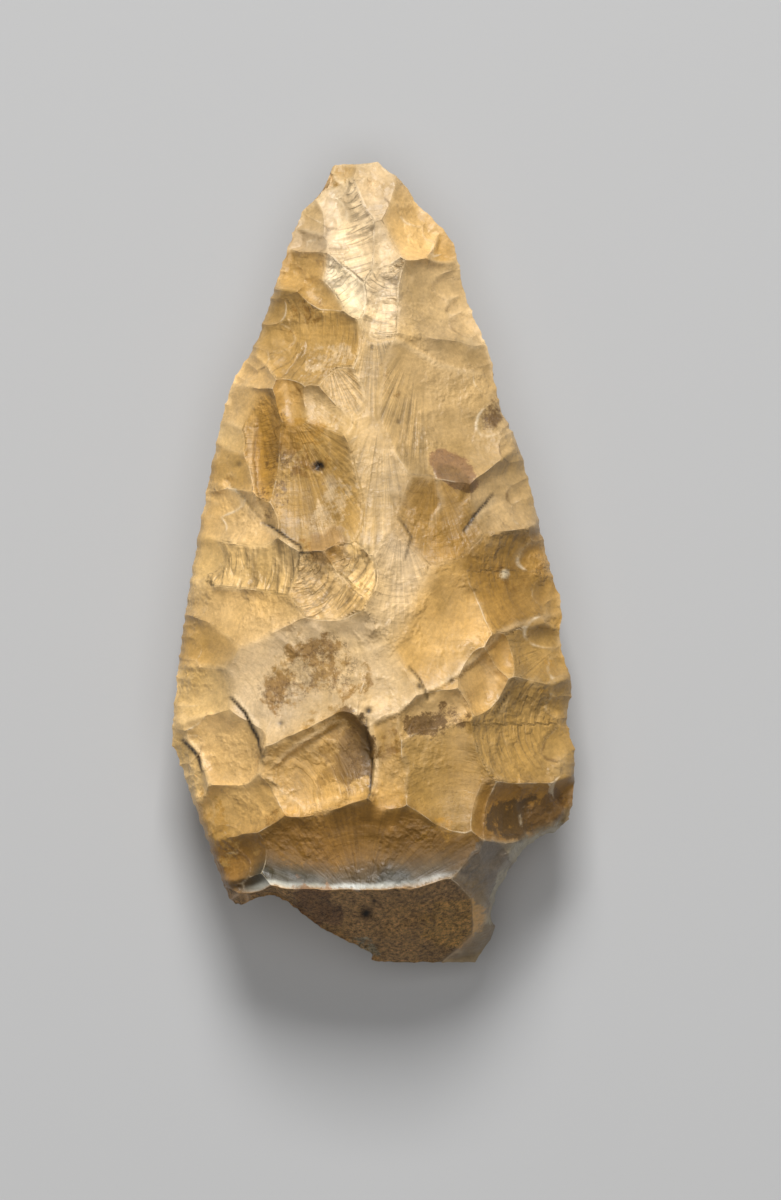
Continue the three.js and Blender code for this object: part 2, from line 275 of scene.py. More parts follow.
def trimmed(line, inward_side, depth_scale=1.0):
    """Bites the line, notes where each blow struck, and then nicks it more finely."""
    line, marks = bitten(line, inward_side, *BITES, depth_scale)
    chips.extend(marks)
    return bitten(line, inward_side, *NICKS, depth_scale)[0]


left = trimmed(left, 1)
right = trimmed(right, -1)
tip = trimmed(tip, -1, 0.4)
butt = trimmed(butt, 1, 0.6)
BREAK_LINE = -62  # nobody trimmed the crust and the late break beyond this line
chips = np.array([chip for chip in chips if chip[1] > BREAK_LINE or chip[0] < -28])
print(f"{len(chips)} trimming bites")

# %% [markdown]
# ## A net over the stone
# The surface needs a grid whose rows run from edge to edge. Blending the four edge lines (a Coons patch)
# gives one, and moving each inner point to the middle of its neighbours evens it out. On a fine grid that
# takes thousands of rounds, so a coarse net is evened first and each finer net starts from it.

# %% Net


def blended(left, right, tip, butt):
    """Sides blended across, plus ends blended down, minus the four corners blended both ways."""
    s = np.linspace(0, 1, len(left))[:, None, None]
    t = np.linspace(0, 1, len(tip))[None, :, None]
    sides = (1 - t) * left[:, None] + t * right[:, None]
    ends = (1 - s) * tip[None] + s * butt[None]
    corners = (1 - s) * ((1 - t) * tip[0] + t * tip[-1]) + s * ((1 - t) * butt[0] + t * butt[-1])
    return sides + ends - corners


def evened(net, rounds):
    """Each inner point becomes the mean of its four neighbours, over and over."""
    for _ in range(rounds):
        net[1:-1, 1:-1] = (net[:-2, 1:-1] + net[2:, 1:-1] + net[1:-1, :-2] + net[1:-1, 2:]) / 4
    return net


def even_net(left, right, tip, butt):
    """Halves the grid until it is coarse, evens that, and refines it back with rounds at each size."""
    if len(left) % 2 == 0 or len(tip) % 2 == 0 or len(left) < 60:
        return evened(blended(left, right, tip, butt), 900)
    coarse = even_net(left[::2], right[::2], tip[::2], butt[::2])
    net = blended(left, right, tip, butt)
    middle_rows = (coarse[1:] + coarse[:-1]) / 2
    rows = np.empty((len(left), coarse.shape[1], 3))
    rows[::2], rows[1::2] = coarse, middle_rows
    inner = np.empty_like(net)
    inner[:, ::2], inner[:, 1::2] = rows, (rows[:, 1:] + rows[:, :-1]) / 2
    net[1:-1, 1:-1] = inner[1:-1, 1:-1]
    return evened(net, 40)


base_net = even_net(left, right, tip, butt)
print("net", base_net.shape)

# %% [markdown]
# ## Colours of the stone
# Patina is a skin of altered flint: cream where it is thick, honey and olive where iron has soaked in,
# umber where the flint still shows through. Each scar has one of these tints, since the flakes came off at
# different times and the skins have grown on surfaces that face different ways. They are written as display
# colours and turned into light values.

# %% Tints


def display(red, green, blue):
    """A display colour from 0 to 255 as a light value: below 0.04 it is divided by 12.92, above it the
    value is ((c + 0.055) / 1.055) to the power 2.4."""
    c = np.array([red, green, blue]) / 255
    return np.where(c <= 0.04045, c / 12.92, ((c + 0.055) / 1.055) ** 2.4)


IVORY = display(240, 218, 180)
PEARL = display(234, 204, 158)
CREAM = display(214, 182, 134)
SAND = display(208, 173, 118)
PEACH = display(222, 180, 114)
STRAW = display(236, 194, 124)
BUFF = display(196, 161, 106)
WHEAT = display(209, 166, 98)
HONEY = display(197, 154, 84)
OLIVE = display(182, 143, 78)
AMBER = display(170, 128, 60)
OCHRE = display(186, 137, 55)
BRONZE = display(148, 106, 42)
UMBER = display(106, 75, 33)
PEAT = display(74, 54, 26)
GOLD_PAINTED_LIGHT = display(206, 158, 88)
SLATE = display(128, 108, 78)
VIOLET = display(124, 110, 92)
PALE_GREY = display(180, 168, 138)
DRAB = display(148, 108, 70)
SHADE = display(72, 64, 44)
CHALK = display(208, 206, 190)
INK = display(30, 21, 12)
CRUST_BROWN = display(184, 142, 90)

# %% [markdown]
# ## The scars of the upper face
# Every blow takes off a flake and leaves a shallow bowl, longer than it is wide, that begins at the edge and
# thins out, or stops in a little step. The face is the lowest of all the bowls cut into the blank's dome, so
# two neighbours meet in a sharp ridge by themselves, with no need to draw it. Sculpting each ridge by hand
# would take longer and never stay consistent with its neighbours.

# %% The table of scars
# x, y of the middle, half length, half width, direction of the blow in degrees, depth, ending (2 feathers
# out, 8 is a step), tint, ripples and streaks from 0 to 1.
SCARS = [
    # tip
    (-7.2, 88.0, 3.6, 2.6, -90, 0.8, 2, BUFF, 0.1, 0.1),
    (-0.2, 83.0, 7.2, 3.8, -78, 1.0, 2, CREAM, 0.2, 0.1),
    (8.9, 76.3, 8.0, 7.4, -110, 1.5, 2, PEACH, 0.1, 0.0),
    (-5.6, 75.0, 13.4, 6.0, -76, 1.8, 2, PEARL, 1.0, 0.2),
    (-6.7, 61.8, 7.6, 4.4, -55, 1.3, 2, IVORY, 1.0, 0.2),
    (2.5, 58.7, 9.4, 5.2, -100, 1.3, 2, PEARL, 1.0, 0.3),
    (2.0, 70.0, 7.2, 3.4, -90, 0.7, 2, PEARL, 0.2, 0.1),
    (15.2, 57.8, 12.6, 9.6, -20, 1.9, 2, SAND, 0.1, 0.1),
    (15.6, 71.4, 4.8, 3.2, 230, 0.8, 2, HONEY, 0.1, 0.4),
    (20.2, 62.0, 3.4, 2.4, 190, 0.9, 2, HONEY, 0.0, 0.2),
    # left side, from the tip down
    (-14.1, 77.0, 5.0, 3.8, -30, 0.8, 2, SAND, 0.1, 0.1),
    (-16.3, 72.1, 5.8, 3.0, -10, 0.9, 2, CREAM, 0.1, 0.1),
    (-16.3, 66.2, 6.8, 4.8, -15, 1.2, 2, HONEY, 0.1, 0.1),
    (-11.4, 58.7, 5.4, 4.2, -40, 1.1, 2, OLIVE, 0.1, 0.1),
    (-15.2, 49.8, 12.5, 9.6, -12, 2.1, 2, OLIVE, 0.6, 0.2),
    (-28.2, 42.6, 4.6, 3.6, -20, 0.7, 2, PEACH, 0.0, 0.1),
    (-29.7, 35.2, 5.2, 4.8, -20, 0.8, 2, PEACH, 0, 0.1),
    (-32.4, 27.8, 4.6, 3.0, -30, 0.7, 2, STRAW, 0.0, 0.1),
    (-32.0, 21.1, 6.4, 4.6, -45, 0.8, 2, HONEY, 0.1, 0.1),
    (-24.4, 25.2, 13.2, 4.6, -82, 1.7, 2, OCHRE, 0.4, 0.4),
    (-18.1, 35.9, 4.6, 2.8, -80, 0.5, 2, HONEY, 0.0, 0.1),
    (-10.7, 34.5, 5.0, 3.0, -30, 0.45, 2, SAND, 0.1, 0.2),
    (-14.2, 17.4, 14.5, 10.0, -75, 2.0, 4, OLIVE, 0.1, 0.7),
    (-30.9, 10.6, 10.5, 6.4, -25, 1.3, 6, PEACH, 0.4, 0.1),
    (-28.6, -1.0, 13.2, 6.6, -5, 1.3, 3, STRAW, 1.0, 0.2),
    (-11.4, -5.5, 8.5, 6.8, -45, 1.3, 2, PEACH, 1.0, 0.2),
    (-5.8, -1.2, 5.6, 4.2, -40, 0.7, 2, STRAW, 1.0, 0.2),
    (-28.6, -10.0, 12.0, 6.4, 0, 1.0, 2, PEACH, 0.2, 0.1),
    (-38.7, -17.3, 6.0, 5.0, -10, 0.8, 2, HONEY, 0.0, 0.1),
    (-14.5, -24.8, 17.5, 11.6, 20, 2.1, 2, CREAM, 0.1, 0.1),
    (-38.7, -28.5, 7.0, 5.0, -20, 0.8, 2, STRAW, 0.1, 0.1),
    (-33.1, -40.8, 8.6, 7.4, -20, 1.7, 7, PEACH, 0.1, 0.1),
    (-41.6, -45.3, 4.5, 6.5, 0, 0.8, 6, STRAW, 0.0, 0.1),
    (-28.6, -54.2, 8.8, 6.0, 10, 1.0, 2, WHEAT, 0.1, 0.1),
    (-31.5, -58.5, 4.0, 3.0, 20, 0.6, 2, HONEY, 0.0, 0.1),
    (-29.7, -65.4, 7.5, 5.5, 20, 1.3, 2, BRONZE, 0.1, 0.2),
    (-28.6, -72.1, 5.0, 3.6, 10, 0.9, 2, PEAT, 0.0, 0.2),
    # median strip
    (-6.3, 39.0, 6.7, 4.2, -60, 0.9, 2, SAND, 0.2, 0.9),
    (0.5, 40.0, 14.0, 4.2, -88, 0.3, 2, SAND, 0.1, 0.9),
    (2.5, 20.0, 14.0, 5.0, -88, 0.4, 2, SAND, 0.1, 0.8),
    (6.5, -6.0, 13.5, 5.8, -88, 1.1, 4, CREAM, 0.3, 0.5),
    (1.1, -25.3, 8.5, 7.0, -90, 1.0, 2, CREAM, 0.1, 0.1),
    (3.4, -46.4, 12.0, 4.5, 90, 0.9, 2, HONEY, 0.0, 0.2),
    # right side, from the tip down
    (14.6, 35.0, 17.5, 14.2, -80, 2.2, 2, BUFF, 0.05, 1.0),
    (13.5, 10.5, 9.5, 9.0, -90, 1.1, 2, AMBER, 0.3, 0.4),
    (29.5, 15.1, 8.6, 6.6, 200, 1.2, 2, BUFF, 0.0, 0.2),
    (31.1, -3.9, 11.5, 10.5, 190, 1.6, 2, AMBER, 0.4, 0.3),
    (40.0, -8.4, 6.0, 3.0, 100, 0.8, 2, HONEY, 0.0, 0.1),
    (14.5, -14.0, 14.0, 10.5, -115, 1.7, 2, WHEAT, 0.1, 0.2),
    (23.9, -26.3, 8.0, 4.8, -70, 1.3, 2, WHEAT, 0.1, 0.2),
    (28.4, -20.7, 4.0, 3.4, -60, 0.9, 2, HONEY, 0.0, 0.1),
    (36.2, -19.6, 6.2, 6.0, 200, 1.3, 2, OLIVE, 0.1, 0.5),
    (34.0, -38.0, 11.5, 11.0, 190, 2.1, 2, OLIVE, 0.6, 0.2),
    # butt
    (-11.5, -45.8, 13.0, 9.8, 34, 2.1, 8, WHEAT, 0.3, 0.1),
    (14.8, -46.8, 14.2, 9.4, 100, 1.6, 3, OLIVE, 0.1, 0.1),
    (12.7, -35.1, 9.0, 5.0, 30, 1.1, 2, PEACH, 0.1, 0.1),
    (-2.5, -64.0, 11.0, 25.0, 90, 2.4, 2, BRONZE, 0.1, 0.5),
    (34.9, -56.8, 12.0, 8.2, 165, 2.2, 2, BRONZE, 0.1, 0.2),
    (25.5, -54.5, 5.5, 5.0, 110, 0.7, 2, BRONZE, 0.1, 0.2),
    (41.5, -53.5, 6.0, 4.6, 195, 1.9, 2, BRONZE, 0.2, 0.3),
]
BROAD_RIGHT = 43  # the row of the broad scar on the right, which is streaked only in one part
print(f"{len(SCARS)} scars on the upper face")

# %% [markdown]
# Under the scars lies the blank, a dome on each side. A bowl is a paraboloid cut into it, so its depth is one
# line of arithmetic at any place. Two surfaces at the butt aren't scars: a plane of crust, which the knapper
# left for the hand, and a late break beside it.

# %% Domes, bowls and the two facets of the butt
# y, middle x, half width, crest of the upper dome, crest of the lower dome
BLANK = [
    (-92, 1, 42, 34, 5), (-75, 1, 42, 38, 3.2), (-60, 1, 44.5, 41, 2.2), (-40, 0, 46.2, 42.5, 1.2),
    (-20, -0.8, 44.4, 42, 0.4), (0, -0.5, 41.6, 40, 0.8), (20, -1.3, 36.6, 37, 2.2), (40, -2, 30.5, 33, 4),
    (60, -1.1, 22.6, 28.5, 6.4), (80, -1.4, 14, 22.5, 9), (86, -2.5, 9.5, 19.5, 11), (90, -4, 6.5, 16.5, 13),
]
UPPER_CREST, LOWER_CREST = 3, 4
DOME_STEP = 1.0


def dome(x, y, crest, side):
    """A parabola across the stone: foot + (crest - foot) * (1 - r*r), r being 1 at the half width."""
    reach = (x - table(BLANK, y, 1)) / table(BLANK, y, 2)
    foot = table(LEFT_EDGE_HEIGHT, y) + side * DOME_STEP
    return foot + (table(BLANK, y, crest) - foot) * (1 - reach**2)


def bowl(x, y, scar):
    """Depth * (1 - forward**ending - across**2), with forward and across measured in half lengths and half
    widths; behind the middle forward is squared."""
    middle_x, middle_y, half_length, half_width, turn, deep, end = scar[:7]
    angle = math.radians(turn)
    dx, dy = x - middle_x, y - middle_y
    forward = (dx * math.cos(angle) + dy * math.sin(angle)) / half_length
    across = (dy * math.cos(angle) - dx * math.sin(angle)) / half_width
    run = np.where(forward > 0, np.abs(forward) ** end, forward**2)
    return deep * (1 - run - across**2)


def fresh_break(x, y):
    """The late break beside the crust: a plane falling to the right that curls over toward the butt."""
    beyond, below = np.maximum(0, x - 25), np.minimum(0, y + 68)
    return 35.2 + 0.65 * (y + 63.5) - 0.73 * (x - 25) - 0.02 * beyond**2 - 0.027 * below**2


# Smaller flakes that came off with the late break: the same seven numbers as a scar's.
BREAK_SCARS = [(27.5, -69.0, 7.5, 3.6, -75, 1.0, 2), (35.5, -63.0, 6.0, 3.4, -150, 1.0, 2),
               (24.0, -80.5, 6.0, 2.8, -80, 0.8, 2), (21.0, -66.5, 4.5, 3.0, -60, 0.7, 2)]


def chip_scars(reach_scale):
    """One small bowl for each trimming bite, as wide as the bite, its middle just inside the edge."""
    scars = []
    for x, y, inward_x, inward_y, width, share in chips:
        turn = math.degrees(math.atan2(inward_y, inward_x)) + 50 * (share - 0.5)
        reach = reach_scale * width * (0.6 + 0.9 * share)
        middle = x + 0.3 * reach * inward_x, y + 0.3 * reach * inward_y
        scars.append((*middle, reach, 0.62 * width, turn, 0.08 + 0.09 * width, 2))
    return scars


WARP = 0.8  # how far ridges wander from their smooth course
DEEPER = 1.6  # the scars here are cut a little deeper than in the plain solid


def wander(x, y, seed):
    """The same place, shifted by hills, so that ridges drawn there come out unsteady."""
    shift_x = WARP * rough(x, y, 9, seed) + 0.25 * rough(x, y, 2.6, seed + 3, 2)
    shift_y = WARP * rough(x, y, 9, seed + 9) + 0.25 * rough(x, y, 2.6, seed + 12, 2)
    return x + shift_x, y + shift_y


def upper_heights(x, y):
    """One layer for each surface that bounds the stone from above: scars, crust, break, and trimming chips
    cut into the lowest of those."""
    wx, wy = wander(x, y, 20)
    shell = dome(x, y, UPPER_CREST, 1)
    layers = [shell - DEEPER * bowl(wx, wy, scar) for scar in SCARS]
    layers += [crust_height(wx, wy), fresh_break(wx, wy)]
    layers += [layers[-1] - bowl(wx, wy, scar) for scar in BREAK_SCARS]
    face = np.min(layers, axis=0)
    layers += [face - bowl(wx, wy, chip) for chip in chip_scars(0.8)]
    return np.array(layers, np.float32)


CRUST, FRESH = len(SCARS), len(SCARS) + 1
CHIPS = FRESH + 1 + len(BREAK_SCARS)  # where the trimming chips begin
print("surfaces ready")

# %% [markdown]
# ## Ridges that stay sharp
# A grid that ignores the ridges would cut them into teeth. So each grid point near a ridge slides along its
# row or column until it stands on it. A ridge lies where two layers are equally high, and between two grid
# points that place is found from the two height gaps, as on a seesaw.

# %% Settling on ridges


def settled(net, heights):
    """Moves inner points by at most half a grid step onto the crossing of the two lowest layers."""
    owner = heights.argmin(0)
    best = np.full(net.shape[:2], np.inf)
    move = np.zeros_like(net)
    rows, columns = net.shape[:2]
    for axis in (0, 1):
        start = (slice(0, rows - 1), slice(None)) if axis == 0 else (slice(None), slice(0, columns - 1))
        end = (slice(1, rows), slice(None)) if axis == 0 else (slice(None), slice(1, columns))
        a, b = owner[start], owner[end]
        gap = lambda part: (np.take_along_axis(heights[(slice(None), *part)], a[None], 0)
                            - np.take_along_axis(heights[(slice(None), *part)], b[None], 0))[0]
        gap_start, gap_end = gap(start), gap(end)
        with np.errstate(divide="ignore", invalid="ignore"):
            share = np.where(a != b, gap_start / (gap_start - gap_end), np.nan)
        step = net[end] - net[start]
        for part, amount, near in ((start, share, share < 0.5), (end, share - 1, share >= 0.5)):
            shift = step * np.nan_to_num(amount)[..., None]
            size = np.where(near, np.linalg.norm(shift[..., :2], axis=2), np.inf)
            better = size < best[part]
            best[part] = np.where(better, size, best[part])
            move[part] = np.where(better[..., None], shift, move[part])
    result = net.copy()
    result[1:-1, 1:-1] += move[1:-1, 1:-1]
    return result


upper_net = settled(base_net, upper_heights(base_net[..., 0], base_net[..., 1]))
X, Y = upper_net[..., 0], upper_net[..., 1]
layers = upper_heights(X, Y)
order = np.argpartition(layers, 1, axis=0)[:2]
two_lowest = np.sort(np.take_along_axis(layers, order, 0), axis=0)
owner = layers.argmin(0)
face_height = two_lowest[0].astype(float)
ridge_gap = (two_lowest[1] - two_lowest[0]).astype(float)  # 0 on a ridge, growing away from it
print(f"{(ridge_gap < 0.02).mean():.1%} of the points stand on a ridge")

# %% [markdown]
# Where the stone rolled or was handled, ridges have faded. Blending toward a blurred copy of the face, inside
# ragged ovals, fades them without moving the scars.

# %% Ridges that water and sand have worn
# Each zone: x, y, half length, half width, turn, how far the ridges are lost there, how ragged it is.
WORN_ZONES = [
    (1.0, 36.0, 20.0, 5.0, 88, 0.7, 0.8),
    (8.0, 0.0, 17.0, 9.0, 80, 0.7, 0.8),
    (22.0, 6.0, 9.0, 6.0, 60, 0.6, 0.8),
    (2.0, -22.0, 8.0, 5.0, 90, 0.6, 0.8),
    (3.5, -48.0, 7.0, 5.0, 90, 0.8, 0.8),
    (-30.0, -16.0, 9.0, 9.0, 0, 0.5, 1.0),
    (-36.0, -28.0, 6.0, 6.0, 0, 0.5, 1.0),
    (-31.0, 28.0, 15.0, 5.0, 68, 0.55, 1.0),
    (-38.0, 2.0, 14.0, 6.0, 80, 0.5, 1.0),
    (-4.5, 12.0, 15.0, 4.5, 85, 0.85, 0.8),
    (-13.0, 31.0, 9.0, 4.0, 10, 0.5, 0.8),
]


def oval(x, y, zone, seed):
    """1 inside an oval and 0 outside, its outline pushed about by hills; the last number of a zone says how
    ragged that outline is."""
    middle_x, middle_y, half_length, half_width, turn = zone[:5]
    angle = math.radians(turn)
    dx, dy = x - middle_x, y - middle_y
    u = (dx * math.cos(angle) + dy * math.sin(angle)) / half_length
    v = (dy * math.cos(angle) - dx * math.sin(angle)) / half_width
    reach = np.hypot(u, v) + 0.45 * zone[-1] * rough(x, y, 3.5, seed, 4)
    return 1 - ease(reach, 0.55, 1.15)


def smoothed(values, rounds):
    """Each point becomes the mean of itself and its four neighbours, over and over; the border repeats."""
    for _ in range(rounds):
        padded = np.pad(values, [(1, 1), (1, 1)] + [(0, 0)] * (values.ndim - 2), mode="edge")
        values = (values + padded[2:, 1:-1] + padded[:-2, 1:-1] + padded[1:-1, 2:] + padded[1:-1, :-2]) / 5
    return values


lost = np.zeros(X.shape)
for number, zone in enumerate(WORN_ZONES):
    lost = np.maximum(lost, zone[5] * oval(X, Y, zone, 600 + 5 * number))
lost = np.maximum(lost, 0.4 * ease(rough(X, Y, 8, 681, 3), 0.1, 0.6))
blurred = smoothed(face_height, 60)
face_height += lost * (blurred - face_height)
print(f"ridges fade over {(lost > 0.5).mean():.0%} of the face")

# %% [markdown]
# Raking light shows a ridge only if its two sides slope. So whatever stands out from the blurred surface
# is made to stand out more, at two widths, in some places much more than in others.

# %% Proud ridges and deep hollows
PROUD_BROAD, PROUD_NARROW = 0.95, 0.5
fresh_ridges = (1 - lost) * (0.1 + 1.1 * ease(rough(X, Y, 10, 671, 3), -0.5, 0.4))
standing_broad = face_height - smoothed(face_height, 60)
standing_narrow = face_height - smoothed(face_height, 8)
face_height += fresh_ridges * (PROUD_BROAD * standing_broad + PROUD_NARROW * standing_narrow)
print(f"ridges stand {standing_broad.max():.2f} mm over the blurred surface")


# %% [markdown]
# ## From the edge inward
# At the edge a face starts at the edge's own height, and within a millimetre or two it reaches the bowls.
# The distance to the edge is measured straight in plan.

# %% Distance to the edge
rim = np.vstack([left, butt, right, tip])[:, :2]


def rim_distance(x, y):
    """The distance from each point to the nearest point of the rim, a block of points at a time."""
    points = np.column_stack([x.ravel(), y.ravel()]).astype(np.float32)
    edge = rim.astype(np.float32)
    found = np.empty(len(points))
    for block in range(0, len(points), 4000):
        part = points[block:block + 4000]
        square = (part**2).sum(1)[:, None] - 2 * part @ edge.T + (edge**2).sum(1)[None]
        found[block:block + 4000] = np.sqrt(np.maximum(square.min(1), 0))
    return found.reshape(x.shape)


EDGE_BEVEL, EDGE_SLOPE = 0.7, 0.3


def from_edge(middle, body, inset, side):
    """middle + side * rise * (1 - exp(-inset / bevel)), rise being the height of the body over the middle."""
    rise = np.maximum(side * (body - middle), EDGE_SLOPE * inset)
    bevel = EDGE_BEVEL + (0.45 * np.maximum(0, middle - 20) if side < 0 else 0)
    return middle + side * rise * (1 - np.exp(-inset / bevel))


upper_inset = rim_distance(X, Y)
print(f"middle of the stone lies {upper_inset.max():.1f} mm from the edge")

# %% [markdown]
# ## Small relief
# On top of the bowls sit the marks that make flint look like flint: ripples that ring out from each blow,
# old fissures, pits, a faint unevenness everywhere, and the coarse skin of the crust. The larger ones are
# real relief in the mesh. The finest ripples and the grain wait for the material.

# %% Where each blow struck
struck = [(*scar[:7], scar[8], scar[9]) for scar in SCARS]
struck += [(0, -72, 12, 20, -90, 1, 2, 0, 0), (26, -62, 12, 8, -60, 1, 2, 0.3, 0.3)]
struck += [(*scar, 0.4, 0.2) for scar in BREAK_SCARS]
struck += [(*chip, 0.1, 0.0) for chip in chip_scars(0.8)]
struck = np.array(struck)
turn = np.radians(struck[owner, 4])
origin_x = struck[owner, 0] - 1.15 * struck[owner, 2] * np.cos(turn)
origin_y = struck[owner, 1] - 1.15 * struck[owner, 2] * np.sin(turn)
strike_distance = np.hypot(X - origin_x, Y - origin_y)
strike_bearing = np.arctan2(Y - origin_y, X - origin_x)
inside = ease(ridge_gap, 0.0, 0.5)
ripple_share = struck[owner, 7] * inside
streak_share = struck[owner, 8] * inside
big_owner = layers[:CHIPS].argmin(0)
crust_mask = (big_owner == CRUST).astype(float)
fresh_mask = (big_owner >= FRESH).astype(float)
STREAKED = (4.5, 32.0, 17.0, 8.0, -72, 1.0, 0.6)  # the part of the broad right-hand scar that is streaked
streak_share *= np.where(big_owner == BROAD_RIGHT, 0.15 + oval(X, Y, STREAKED, 701), 1)

# %% [markdown]
# The force of a blow travels out in waves, which stay in the scar as arcs round the struck point. So this
# noise is read in distance and bearing from that point and not in x and y. Swells and crust have no such
# centre and are plain hills.

# %% Ripples, swells and crust
ARC = 0.30  # height of the broad uneven arcs that every blow leaves
RIPPLE = 0.15  # height of the finer ones
SWELL = 0.30
CRUST_ROUGHNESS = 0.75
arcs = rough(strike_distance, 5 * strike_bearing + 17.3 * owner, 3.4, 31, 2)
ripples = rough(strike_distance, 2.2 * strike_bearing + 11.9 * owner, 1.05, 35, 1)
relief = ARC * arcs * (0.35 + 0.65 * ripple_share) * inside * (1 - crust_mask)
relief += RIPPLE * ripples * ripple_share
relief += SWELL * rough(X, Y, 7, 51, 3)
relief *= ease(upper_inset, 0.3, 3.5)
grains = rough(X, Y, 3.0, 71, 4) - 0.5 * ease(hills(X, Y, 2.1, 77), 0.45, 0.8)
relief += CRUST_ROUGHNESS * crust_mask * inside * grains
relief += 0.5 * fresh_mask * inside * rough(X, Y, 4.5, 75, 3)

# %% [markdown]
# Where a flake broke off short it left a little cliff, with a hollow at its foot. A broken line with a low
# side gives one; the cliff's high side gets a painted highlight, and its crack and foot are painted dark, as
# shade with some dirt. Small flakes also sprang from the ridges, and a few pits are older still.

# %% Steps
# Each cliff: its corners, with the low side on the left hand of someone who walks along them, its depth, how
# far the hollow at its foot reaches, and how dark its corner is painted, as shade with some dirt.
STEPS = [
    ([(-25.3, 9.3), (-22.4, 7.7), (-18.8, 5.3), (-16.5, 3.7), (-15.7, 1.5)], 1.2, 2.0, 1.0),
    ([(-33.1, 18.7), (-29.5, 15.3), (-25.3, 9.8)], 0.5, 1.5, 0.5),
    ([(-24.4, -43.5), (-25.7, -38.1), (-28.4, -33.2), (-31.8, -29.2)], 1.4, 3.0, 1.0),
    ([(-38, -46.6), (-38.9, -43.1), (-40.9, -40.4), (-42.7, -38.8)], 1.0, 2.5, 1.0),
    ([(20.1, 7), (22.8, 10.4), (27.1, 15.5)], 0.6, 0.8, 1.0),
    ([(-0.9, -52.5), (-0.2, -47.3), (-0.3, -41.7), (-1.6, -34.2)], 1.4, 2.5, 1.0),
    ([(-1.6, -33.2), (-8.9, -36.0), (-15.2, -39.8), (-22.5, -45.5)], 0.9, 4.0, 0.15),
    ([(42.0, -11.7), (32.0, -14.4), (28.2, -16.2), (22.4, -22.0), (17.2, -26.5), (10.5, -29.2), (4.9, -33.9),
      (0, -35.9)], 0.9, 4.0, 0.0),
    ([(-22.5, -45.8), (-21.0, -49.5), (-16.0, -53.5), (-9.0, -51.5), (-2.0, -52.5)], 0.5, 3.0, 0.0),
    ([(4.9, 10.4), (8.3, 5.7), (6.7, 0.3)], 0.35, 1.2, 0.6),
    ([(27.1, -34.3), (30.2, -28.5)], 0.4, 1.2, 0.8),
    ([(7.8, -22.5), (10.5, -26.4), (11.6, -30.5)], 0.9, 1.5, 0.7),
    ([(-25.9, 33.5), (-27.0, 24.0), (-25.6, 14.5), (-24.0, 9.5)], 0.6, 3.0, 0.35),
    ([(12.0, 8.0), (14.5, 13.0), (13.2, 22.0)], 0.4, 2.0, 0.0),
    ([(-2.0, 49.0), (6.0, 50.0), (15.0, 44.5), (26.5, 42.5)], 0.5, 5.0, 0.0),
]
RIDGE_NICKS = 110  # little flakes that sprang from the ridges
# Each pit: x, y, radius, depth.
PITS = [(-12.3, 21.6, 0.9, 0.7), (-0.9, -32.8, 0.8, 0.9), (-0.4, 48, 0.5, 0.3), (-1.3, -77.9, 1.3, 0.9),
        (-15.4, -75.7, 0.8, 0.6), (0.4, -75.2, 0.7, 0.5), (-9, 17.5, 0.8, 0.35), (5.6, 31.4, 0.5, 0.3),
        (10.1, -27.2, 0.8, 0.5), (17.4, -26.1, 0.6, 0.4), (-20.5, -35.2, 0.6, 0.4), (-30.2, 22, 0.6, 0.3)]


def along_steps(x, y, corners):
    """The signed distance to a broken line, above 0 on its left, and the share of the way along it."""
    nearest, where, side = np.full(x.shape, np.inf), np.zeros(x.shape), np.ones(x.shape)
    for k, ((ax, ay), (bx, by)) in enumerate(zip(corners, corners[1:])):
        length = (bx - ax) ** 2 + (by - ay) ** 2
        share = np.clip(((x - ax) * (bx - ax) + (y - ay) * (by - ay)) / length, 0, 1)
        distance = np.hypot(x - ax - share * (bx - ax), y - ay - share * (by - ay))
        left_hand = np.sign((bx - ax) * (y - ay) - (by - ay) * (x - ax))
        closer = distance < nearest
        where = np.where(closer, (k + share) / (len(corners) - 1), where)
        side = np.where(closer, left_hand, side)
        nearest = np.minimum(distance, nearest)
    return nearest * side, where


crack_shade_and_dirt, step_highlight = np.zeros(X.shape), np.zeros(X.shape)
fx, fy = X + 0.5 * rough(X, Y, 4, 81), Y + 0.5 * rough(X, Y, 4, 85)
for corners, deep, reach, corner_shade_and_dirt in STEPS:
    signed, where = along_steps(fx, fy, corners)
    taper = np.sqrt(np.clip(4 * where * (1 - where), 0, 1)) * (np.abs(signed) < 4 * reach)
    foot = np.where(signed > 0, np.exp(-signed / reach), 0) * taper
    relief -= deep * foot
    crack = np.exp(-(((signed - 0.2) / 0.38) ** 2)) * np.sqrt(taper)
    # painted shade with some dirt, in the crack and in the hollow at the cliff's foot
    crack_shade_and_dirt = np.maximum(crack_shade_and_dirt, corner_shade_and_dirt * np.maximum(crack, 0.25 * foot))
    # a painted highlight on the high side of each cliff
    step_highlight = np.maximum(step_highlight, np.exp(-(((signed + 0.7) / 0.6) ** 2)) * taper * min(1, deep))
nick_random = np.random.default_rng(29)
standing_points = np.argwhere((ridge_gap < 0.03) & (upper_inset > 2) & (lost < 0.5))
for row, column in nick_random.permutation(standing_points)[:RIDGE_NICKS]:
    angle, radius = nick_random.uniform(0, np.pi), nick_random.uniform(0.7, 2.2)
    dx, dy = fx - X[row, column], fy - Y[row, column]
    u, v = dx * np.cos(angle) + dy * np.sin(angle), dy * np.cos(angle) - dx * np.sin(angle)
    relief -= 0.28 * radius * np.clip(1 - (u / (1.7 * radius)) ** 2 - (v / radius) ** 2, 0, 1)
for pit_x, pit_y, radius, deep in PITS:
    hole = np.exp(-(((fx - pit_x) ** 2 + (fy - pit_y) ** 2) / radius**2))
    relief -= deep * hole
    # the pit is painted dark, as shade with some dirt
    crack_shade_and_dirt = np.maximum(crack_shade_and_dirt, hole * min(1, deep + 0.3))
print(f"small relief from {relief.min():.2f} to {relief.max():.2f} mm")

# %% [markdown]
# The face takes its bowls and its small relief, and comes down to the edge line at the rim.

# %% Upper face, finished
upper_z = from_edge(upper_net[..., 2], face_height + relief, upper_inset, 1)
upper_face = np.dstack([X, Y, upper_z])

